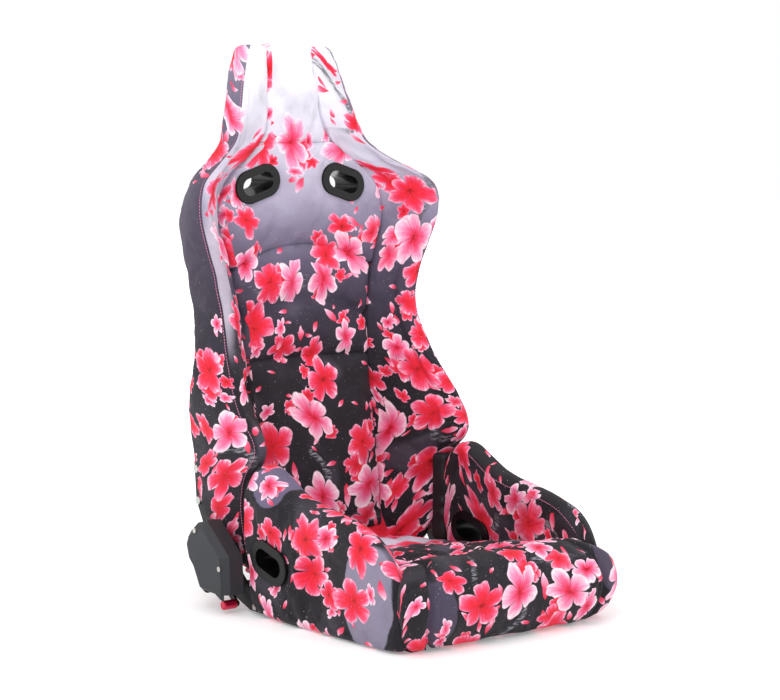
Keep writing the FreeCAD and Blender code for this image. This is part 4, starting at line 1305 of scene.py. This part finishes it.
class BackrestCovers:
    """All soft pieces of the backrest."""

    LUMBAR = Pad("lumbar_cover", 0.088, 0.402, ((0.085, 0.135), (0.40, 0.137)), "lumbar_pad",
                 crown=0.014, dish=0.004, bow_high=0.004, phase=0.4)
    MID = Pad("mid_cover", 0.398, 0.560, ((0.39, 0.137), (0.48, 0.138), (0.56, 0.152)), "mid_pad",
              crown=0.012, dish=0.006, bow_low=0.004, bow_high=0.042,
              grooves=(Groove(0.468, 0.034, 0.011, 0.008),), phase=2.1)
    UPPER = Pad("insert_cover", 0.556, 0.778,
                ((0.55, 0.154), (0.570, 0.158), (0.61, 0.170), (0.64, 0.177), (0.675, 0.177), (0.70, 0.168),
                 (0.722, 0.150), (0.745, 0.121), (0.770, 0.086)),
                "upper_pad", crown=0.010, dish=0.010, bow_low=0.042, depth=0.034, phase=3.3,
                seats=tuple(opening.seat(0.3132) for opening in SHOULDER_OPENINGS))
    HEAD = Pad("head_cover", 0.772, 0.949, ((0.77, 0.086), (0.80, 0.068), (0.82, 0.063), (0.95, 0.052)),
               "headrest_pad", crown=0.006, dish=0.001, depth=0.040, phase=4.4)

    def build(self, finishes: Finishes) -> None:
        """Builds pads, shell and wings and reports each piece.

        Args:
            finishes: Finishes of the seat.
        """
        for pad in (self.LUMBAR, self.MID, self.UPPER, self.HEAD):
            piece = pad.build()
            cover(piece, BACKREST, finishes.back, pad.node)
            if pad is self.UPPER:
                for opening in SHOULDER_OPENINGS:
                    opening.cut(piece)
        shell = BackShell().build(finishes.shell)
        log.info("%s has %d faces", shell.name, len(shell.data.polygons))
        for side in Side:
            wing = Wing(side)
            wing.dress(wing.build(), finishes)


# Side outline of a seat bolster as (Y, Z) in metres, up the front, over the top and the horn, and back below.
BOLSTER_PROFILE = ((-0.236, 0.006), (-0.240, 0.045), (-0.236, 0.092), (-0.216, 0.127), (-0.202, 0.147),
                   (-0.172, 0.172), (-0.120, 0.191), (-0.055, 0.200), (0.020, 0.213), (0.058, 0.230),
                   (0.092, 0.250), (0.109, 0.255), (0.124, 0.250), (0.142, 0.232), (0.157, 0.206),
                   (0.165, 0.137), (0.153, 0.100), (0.144, 0.060), (0.142, 0.004), (0.060, 0.001),
                   (-0.040, 0.001), (-0.140, 0.001), (-0.220, 0.002))


@dataclass(frozen=True)
class SeatBolster:
    """Side bolster of the seat base, with its raised rear horn."""

    side: Side
    inner: float = 0.187
    rim: float = 0.016
    around: int = 240
    outer_level: float = 0.2395

    def build(self) -> tuple[bpy.types.Object, bpy.types.Object]:
        """Makes the bolster and its row of top stitches.

        Rings run from the middle of the outer face over the rim to the middle of the inner face. The outline
        is a closed spline near the side profile; the rim is rounded and both faces are crowned like a
        cushion.

        Returns:
            The bolster, settled between its seams, and its stitches.
        """
        outline = spline_ring(np.array(BOLSTER_PROFILE)[None], 1200)[0]
        walk = unrolled(outline[None])[0]
        places = np.linspace(0, walk[-1], self.around, endpoint=False)
        closed = np.vstack([outline, outline[:1]])
        outline = np.stack([np.interp(places, walk, closed[:, k]) for k in range(2)], -1)
        centre = np.array([0.0, 0.10])
        reach = np.linalg.norm(outline - centre, axis=1)
        outer = np.interp(outline[:, 0], (-0.24, -0.20, 0.06), (0.221, 0.226, 0.240))
        turn = np.linspace(0, math.pi / 2, 9)
        face = np.linspace(0.03, 1.0, 34)
        rows = []
        for sign, x_face in ((1, outer), (-1, np.full_like(outer, self.inner))):
            flat = (reach - self.rim)[None, :] * face[:-1, None]
            rounded = reach - self.rim + self.rim * np.sin(turn)[:, None]
            radial = np.vstack([flat, rounded])
            fall = self.rim * (1 - np.cos(turn))[:, None]
            drop = np.vstack([np.zeros_like(flat), np.broadcast_to(fall, rounded.shape)])
            edge = np.clip((reach - radial) / 0.055, 0, 1)
            crown = 0.005 * np.sin(edge * math.pi / 2)
            x = x_face - sign * drop + sign * (crown - 0.004)
            rows.append((radial, x) if sign > 0 else (radial[::-1], x[::-1]))
        radial = np.vstack([rows[0][0], rows[1][0][1:]])
        x = np.vstack([rows[0][1], rows[1][1][1:]])
        plane = centre + (outline - centre)[None] * (radial / reach)[..., None]
        top = np.interp(plane[..., 0], *np.array(BOLSTER_PROFILE[2:15]).T)
        inner_half = np.arange(len(x))[:, None] > len(rows[0][0])
        over = outer[None] - x
        v = np.where(inner_half, 2 * top - plane[..., 1] + 0.03, plane[..., 1] + over * 0.7)
        u = plane[..., 0]
        waves = Wrinkles(0.0018, 0.10, 0.7 + self.side.value).at(u, v)
        x = x + np.where(inner_half, -waves, waves)
        levels = ((False, self.outer_level), (True, self.inner + 0.0005))
        for inside, level in levels:
            seat = LAP_OPENINGS[self.side].seat(level)
            x = np.where(inner_half == inside, seat.press(x, plane[..., 0], plane[..., 1]), x)
        points = np.stack([self.side.value * x, plane[..., 0], plane[..., 1]], -1)
        points[..., 2] = np.maximum(points[..., 2], 0.0008)
        print_map = np.stack([u + 0.9 * self.side.value, v], -1)
        print_map = np.concatenate([print_map, print_map[:, :1]], 1)
        rim = len(rows[0][0]) + 6
        top = (outline[:, 1] > 0.13) & (outline[:, 0] < 0.1)
        start = np.flatnonzero(top & ~np.roll(top, 1))[0]
        run = (start + np.arange(top.sum())) % self.around
        lift = np.broadcast_to((-self.side.value * 0.4, 0.0, 1.0), (len(run), 3))
        stitch = Stitching(f"bolster_stitch_{self.side.label}").build(points[rim, run], lift)
        piece = grid_piece(f"bolster_cover_{self.side.label}", points, print_map)
        hold = (radial > reach - 0.7 * self.rim) | (points[..., 2] < 0.012)
        for inside, level in levels:
            hold |= (inner_half == inside) & (np.abs(x - level) < 0.0004)
        Filling(limit=0.006).settle(piece, hold)
        return piece, stitch


class SeatCovers:
    """All soft pieces of the seat base."""

    NOSE_PROFILE = ((-0.150, 0.118), (-0.176, 0.132), (-0.205, 0.137), (-0.235, 0.131), (-0.263, 0.116),
                    (-0.280, 0.086), (-0.277, 0.050), (-0.262, 0.018), (-0.246, 0.003), (-0.222, 0.003),
                    (-0.180, 0.003), (-0.155, 0.020), (-0.148, 0.070))
    CUSHION_ACROSS = 121

    def build(self, finishes: Finishes) -> None:
        """Builds bolsters, nose, cushion, folds and gusset and reports each padded piece.

        Args:
            finishes: Finishes of the seat.
        """
        for side in Side:
            piece, stitch = SeatBolster(side).build()
            stitch.data.materials.append(finishes.thread)
            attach(stitch, BASE)
            LAP_OPENINGS[side].cut(piece)
            cover(piece, BASE, finishes.seat, f"seat_bolster_{side.label}")
        cover(self.nose(), BASE, finishes.nose, "nose_roll")
        cover(self.cushion(), BASE, finishes.insert, "seat_cushion")
        for side in Side:
            fold = self.fold(side)
            fold.data.materials.append(finishes.trim)
            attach(fold, BASE)
        gusset = self.gusset()
        gusset.data.materials.append(finishes.seat)
        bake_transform(gusset)

    def fold(self, side: Side) -> bpy.types.Object:
        """Crumpled dark cloth between the rear of a bolster and the backrest.

        Rings are rounded rectangles up the gap, pushed about by waves whose pitch swings with the height.

        Args:
            side: Side of the seat.
        Returns:
            The fold.
        """
        places, insets = end_profile(0.070, 0.228, 0.010, 60)
        count = len(places)
        ring = rounded_ring(np.full(count, 0.017) - insets, np.full(count, 0.034) - 2 * insets,
                            np.maximum(0.009 - insets, 0.002), 15, 6)
        swing = np.sin(places * 110 + 4 * np.sin(places * 47))[:, None]
        wave = 0.0018 * swing * np.sin(ring[..., 1] * 90 + 1)
        x = side.value * (0.203 + ring[..., 0] + wave)
        y = 0.146 + insets[:, None] + ring[..., 1] + 0.6 * wave
        z = np.broadcast_to(places[:, None], x.shape)
        around = unrolled(ring)
        uv = np.stack([around, np.broadcast_to(places[:, None], around.shape)], -1)
        return grid_piece(f"hinge_fold_{side.label}", np.stack([x, y, z], -1), uv)

    def gusset(self) -> bpy.types.Object:
        """Folded fabric that closes the gap between cushion and backrest.

        Rings are flat rounded strips along a curve that leaves the cushion's rear and rises behind the lumbar
        cover; their outline is a flattened superellipse, and it creases across in slow waves.

        Returns:
            The gusset.
        """
        count = 60
        share = np.linspace(0, 1, count)
        path = smooth_table(((0.0, 0.190), (0.25, 0.222), (0.5, 0.246), (0.75, 0.258), (1.0, 0.268)),
                            share, 0.1)
        rise = smooth_table(((0.0, 0.060), (0.25, 0.062), (0.5, 0.072), (0.75, 0.105), (1.0, 0.150)),
                            share, 0.1)
        turn = np.linspace(0, 2 * math.pi, 160, endpoint=False)
        across = 0.186 * np.sign(np.cos(turn)) * np.abs(np.cos(turn)) ** 0.35
        thick = 0.0045 * np.sign(np.sin(turn)) * np.abs(np.sin(turn)) ** 0.35
        slope = np.gradient(rise, path)
        normal = np.stack([-slope, np.ones_like(slope)], -1) / np.sqrt(1 + slope ** 2)[:, None]
        steps = np.arange(count)
        ends = np.minimum(1, np.minimum(steps, steps[::-1]) / 4 + 0.15)
        wave = 0.0016 * np.sin(across * 90)[None, :] * np.sin(9 * share)[:, None]
        off = thick[None, :] * ends[:, None] + wave
        points = np.stack([np.broadcast_to(across[None, :], off.shape), path[:, None] + normal[:, :1] * off,
                           rise[:, None] + normal[:, 1:] * off], -1)
        u, v = np.meshgrid(np.append(across, across[0]), 2 + 0.12 * share)
        return grid_piece("joint_gusset", points, np.stack([u, v], -1))

    def nose(self) -> bpy.types.Object:
        """Front roll under the thighs.

        Rings are splines near the side profile, swept across; it draws back and down at both ends, with an
        arched seam groove before each end.

        Returns:
            The roll, settled between its seams.
        """
        places, insets = end_profile(-0.227, 0.227, 0.020, 111)
        profile = np.array(self.NOSE_PROFILE)
        centre = profile.mean(0)
        ring = spline_ring(np.broadcast_to(profile[None], (len(places), *profile.shape)), 128)
        ring = centre + (ring - centre) * (1 - insets / 0.062)[:, None, None]
        share = np.abs(places) / 0.227
        ring[..., 1] -= np.clip(ring[..., 1] - 0.02, 0, 1) * 0.10 * (share ** 8)[:, None]
        ring[..., 0] += (0.016 * share ** 5)[:, None] * (ring[..., 0] < -0.2)
        radial = ring - centre
        radial /= np.linalg.norm(radial, axis=2, keepdims=True)
        seam = 0.168 + 0.014 * np.cos((ring[..., 1] - 0.05) * 20)
        sink = 0.009 * valley(np.abs(places)[:, None] - seam, 0.0055)
        around = unrolled(ring)
        u = np.broadcast_to(places[:, None], around.shape)
        sink = sink - Wrinkles(0.002, 0.12, 2.2).at(u[:, :-1], around[:, :-1])
        ring = ring - radial * sink[..., None]
        tuck = 1 - 0.11 * np.clip((ring[..., 0] + 0.250) / 0.035, 0, 1)
        tuck -= 0.05 * np.clip(1 - ring[..., 1] / 0.06, 0, 1)
        points = np.stack([places[:, None] * tuck, ring[..., 0], ring[..., 1]], -1)
        points[..., 2] = np.maximum(points[..., 2], 0.0012)
        piece = grid_piece("nose_cover", points, np.stack([u, around], -1))
        Filling().settle(piece, (sink > 0.006) | (points[..., 2] < 0.010) | (points[..., 1] > -0.165))
        return piece

    def cushion(self) -> bpy.types.Object:
        """Seat cushion between the bolsters.

        Rings are rounded rectangles along the depth of the seat. The top is crowned between grooves that run
        round the insert, and shallow pleats fan out over its front as a sine of the angle.

        Returns:
            The cushion, settled between its seams.
        """
        places, insets = end_profile(-0.150, 0.232, 0.014, 91)
        top = smooth_table(((-0.147, 0.117), (-0.06, 0.103), (0.075, 0.083), (0.232, 0.071)), places, 0.02)
        bottom = smooth_table(((-0.147, 0.030), (0.170, 0.030), (0.190, 0.050), (0.232, 0.050)),
                              places, 0.004)
        depth = top - bottom - 2 * insets
        half = np.full_like(places, 0.186) - insets
        ring = rounded_ring(half, depth, np.minimum(0.016, depth / 2.2), self.CUSHION_ACROSS, 6)
        x = ring[..., 0]
        y = np.broadcast_to(places[:, None], x.shape)
        upper = 1 - np.clip(ring[..., 1] / depth[:, None], 0, 1)
        z = (top - insets)[:, None] - ring[..., 1]
        share = np.abs(x) / 0.186
        crown = 0.011 * (1 - share ** 4) - 0.004 - 0.008 * share ** 8
        edge = np.abs(x) - (0.088 + 0.012 * np.sin((y + 0.05) * 9))
        groove = 0.007 * valley(edge, 0.007) * (y > -0.105)
        front_seam = 0.007 * valley(y + 0.105 + 0.012 * (1 - (x / 0.09) ** 2), 0.007)
        front_seam = front_seam * (np.abs(x) < 0.1)
        fan = np.arctan2(x, y + 0.32)
        pleats = 0.0028 * np.sin(fan * 46) * np.clip((0.03 - y) / 0.1, 0, 1) * (1 - share ** 2)
        z = z + upper * (crown - groove - front_seam + pleats + Wrinkles(0.0018, 0.09, 0.3).at(x, y))
        around = unrolled(ring)
        middle = self.CUSHION_ACROSS // 2
        u = around - around[:, middle:middle + 1] + 1.7
        v = np.concatenate([y, y[:, :1]], 1)
        piece = grid_piece("cushion_cover", np.stack([x, y, z], -1), np.stack([u, v], -1))
        Filling().settle(piece, (upper < 0.7) | (groove + front_seam > 0.004) | (share > 0.96))
        return piece


# ------------------------------------------------------------------ room


@dataclass(frozen=True)
class Softbox:
    """One area light that looks at the seat."""

    name: str
    place: tuple[float, float, float]
    size: float
    power: float

    def build(self) -> None:
        """Adds the light."""
        lamp = bpy.data.lights.new(self.name, "AREA")
        lamp.size = self.size
        lamp.energy = self.power
        light = bpy.data.objects.new(self.name, lamp)
        light.location = self.place
        light.rotation_euler = (Vector((0, 0, 0.35)) - light.location).to_track_quat("-Z", "Y").to_euler()
        bpy.context.collection.objects.link(light)


@dataclass(frozen=True)
class Studio:
    """White sweep, soft light and the camera."""

    camera_place: tuple[float, float, float] = (-2.2487, -2.7845, 0.8172)
    camera_forward: tuple[float, float, float] = (0.61655, 0.78022, -0.10539)
    lens: float = 100.59
    lights: tuple[Softbox, ...] = (
        Softbox("key", (-2.6, -1.6, 3.0), 2.2, 74.0), Softbox("fill", (1.8, -3.2, 1.6), 2.6, 45.0),
        Softbox("top", (0.2, 0.2, 3.2), 2.4, 36.0), Softbox("rim", (-2.4, 2.4, 1.8), 1.4, 30.0))

    def build(self) -> None:
        """Sets camera, lights, floor and surroundings."""
        data = bpy.data.cameras.new("camera")
        data.lens = self.lens
        camera = bpy.data.objects.new("camera", data)
        camera.location = self.camera_place
        camera.rotation_euler = Vector(self.camera_forward).to_track_quat("-Z", "Y").to_euler()
        bpy.context.collection.objects.link(camera)
        bpy.context.scene.camera = camera
        bpy.context.scene.view_settings.view_transform = "Standard"
        for light in self.lights:
            light.build()
        self._floor()
        self._surroundings()

    def _floor(self) -> None:
        """White plane under the seat, that glows away from it so that its edge can't be seen."""
        mesh = bpy.data.meshes.new("floor")
        mesh.from_pydata([(-14, -14, 0), (14, -14, 0), (14, 14, 0), (-14, 14, 0)], [], [(0, 1, 2, 3)])
        floor = bpy.data.objects.new("floor", mesh)
        bpy.context.collection.objects.link(floor)
        shop = Shop("floor_white")
        solid = shop.add("ShaderNodeTexCoord", None, out="Object")
        x, y, _ = shop.split(solid)
        away = (x * x + y * y).call("SQRT").band(0.5, 2.2)
        glow = shop.mix(away * 0.75 + 0.25, (0.0, 0.0, 0.0), (0.9, 0.9, 0.9))
        shop.surface({"Base Color": (0.86, 0.86, 0.86), "Roughness": 0.6, "Specular IOR Level": 0.1,
                      "Emission Strength": 1.0}, Emission_Color=glow)
        floor.data.materials.append(shop.material)

    def _surroundings(self) -> None:
        """White to the camera, soft grey to the surfaces."""
        world = bpy.data.worlds.new("studio")
        world.use_nodes = True
        nodes, links = world.node_tree.nodes, world.node_tree.links
        nodes.clear()
        path = nodes.new("ShaderNodeLightPath")
        seen, unseen, mixed, output = (nodes.new(kind) for kind in (
            "ShaderNodeBackground", "ShaderNodeBackground", "ShaderNodeMixShader", "ShaderNodeOutputWorld"))
        seen.inputs[0].default_value = (1, 1, 1, 1)
        seen.inputs[1].default_value = 1.0
        unseen.inputs[0].default_value = (1, 1, 1, 1)
        unseen.inputs[1].default_value = 0.55
        links.new(path.outputs["Is Camera Ray"], mixed.inputs[0])
        links.new(unseen.outputs[0], mixed.inputs[1])
        links.new(seen.outputs[0], mixed.inputs[2])
        links.new(mixed.outputs[0], output.inputs[0])
        bpy.context.scene.world = world


def paint_nodes(finishes: Finishes) -> None:
    """Puts a finish on every CAD node: the stem that its name starts with decides, the rest is painted.

    Args:
        finishes: Finishes of the seat.
    """
    stems = {
        "lap_bezel": finishes.bezel, "shoulder_bezel": finishes.bezel, "recliner_cover": finishes.cover,
        "lever_knob": finishes.knob, "back_shell": finishes.shell, "pivot_bushes": finishes.bronze,
        "rod_bushes": finishes.bronze, "mount_nuts": finishes.zinc, "pivot_bolts": finishes.zinc,
        "bracket_bolts": finishes.zinc, "cover_screws": finishes.zinc, "spacer_bolts": finishes.zinc,
        "knob_screws": finishes.zinc, "lever_springs": finishes.zinc, "spiral_springs": finishes.zinc}
    for name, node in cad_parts.items():
        finish = next((chosen for stem, chosen in stems.items() if name.startswith(stem)), finishes.paint)
        for place in node.material_slots:
            place.material = finish


def main() -> None:
    """Builds the seat's looks in order."""
    logging.basicConfig(level=logging.INFO, format="%(name)s: %(message)s")
    finishes = Finishes()
    paint_nodes(finishes)
    BackrestCovers().build(finishes)
    SeatCovers().build(finishes)
    Studio().build()


if __name__ == "__main__":
    main()
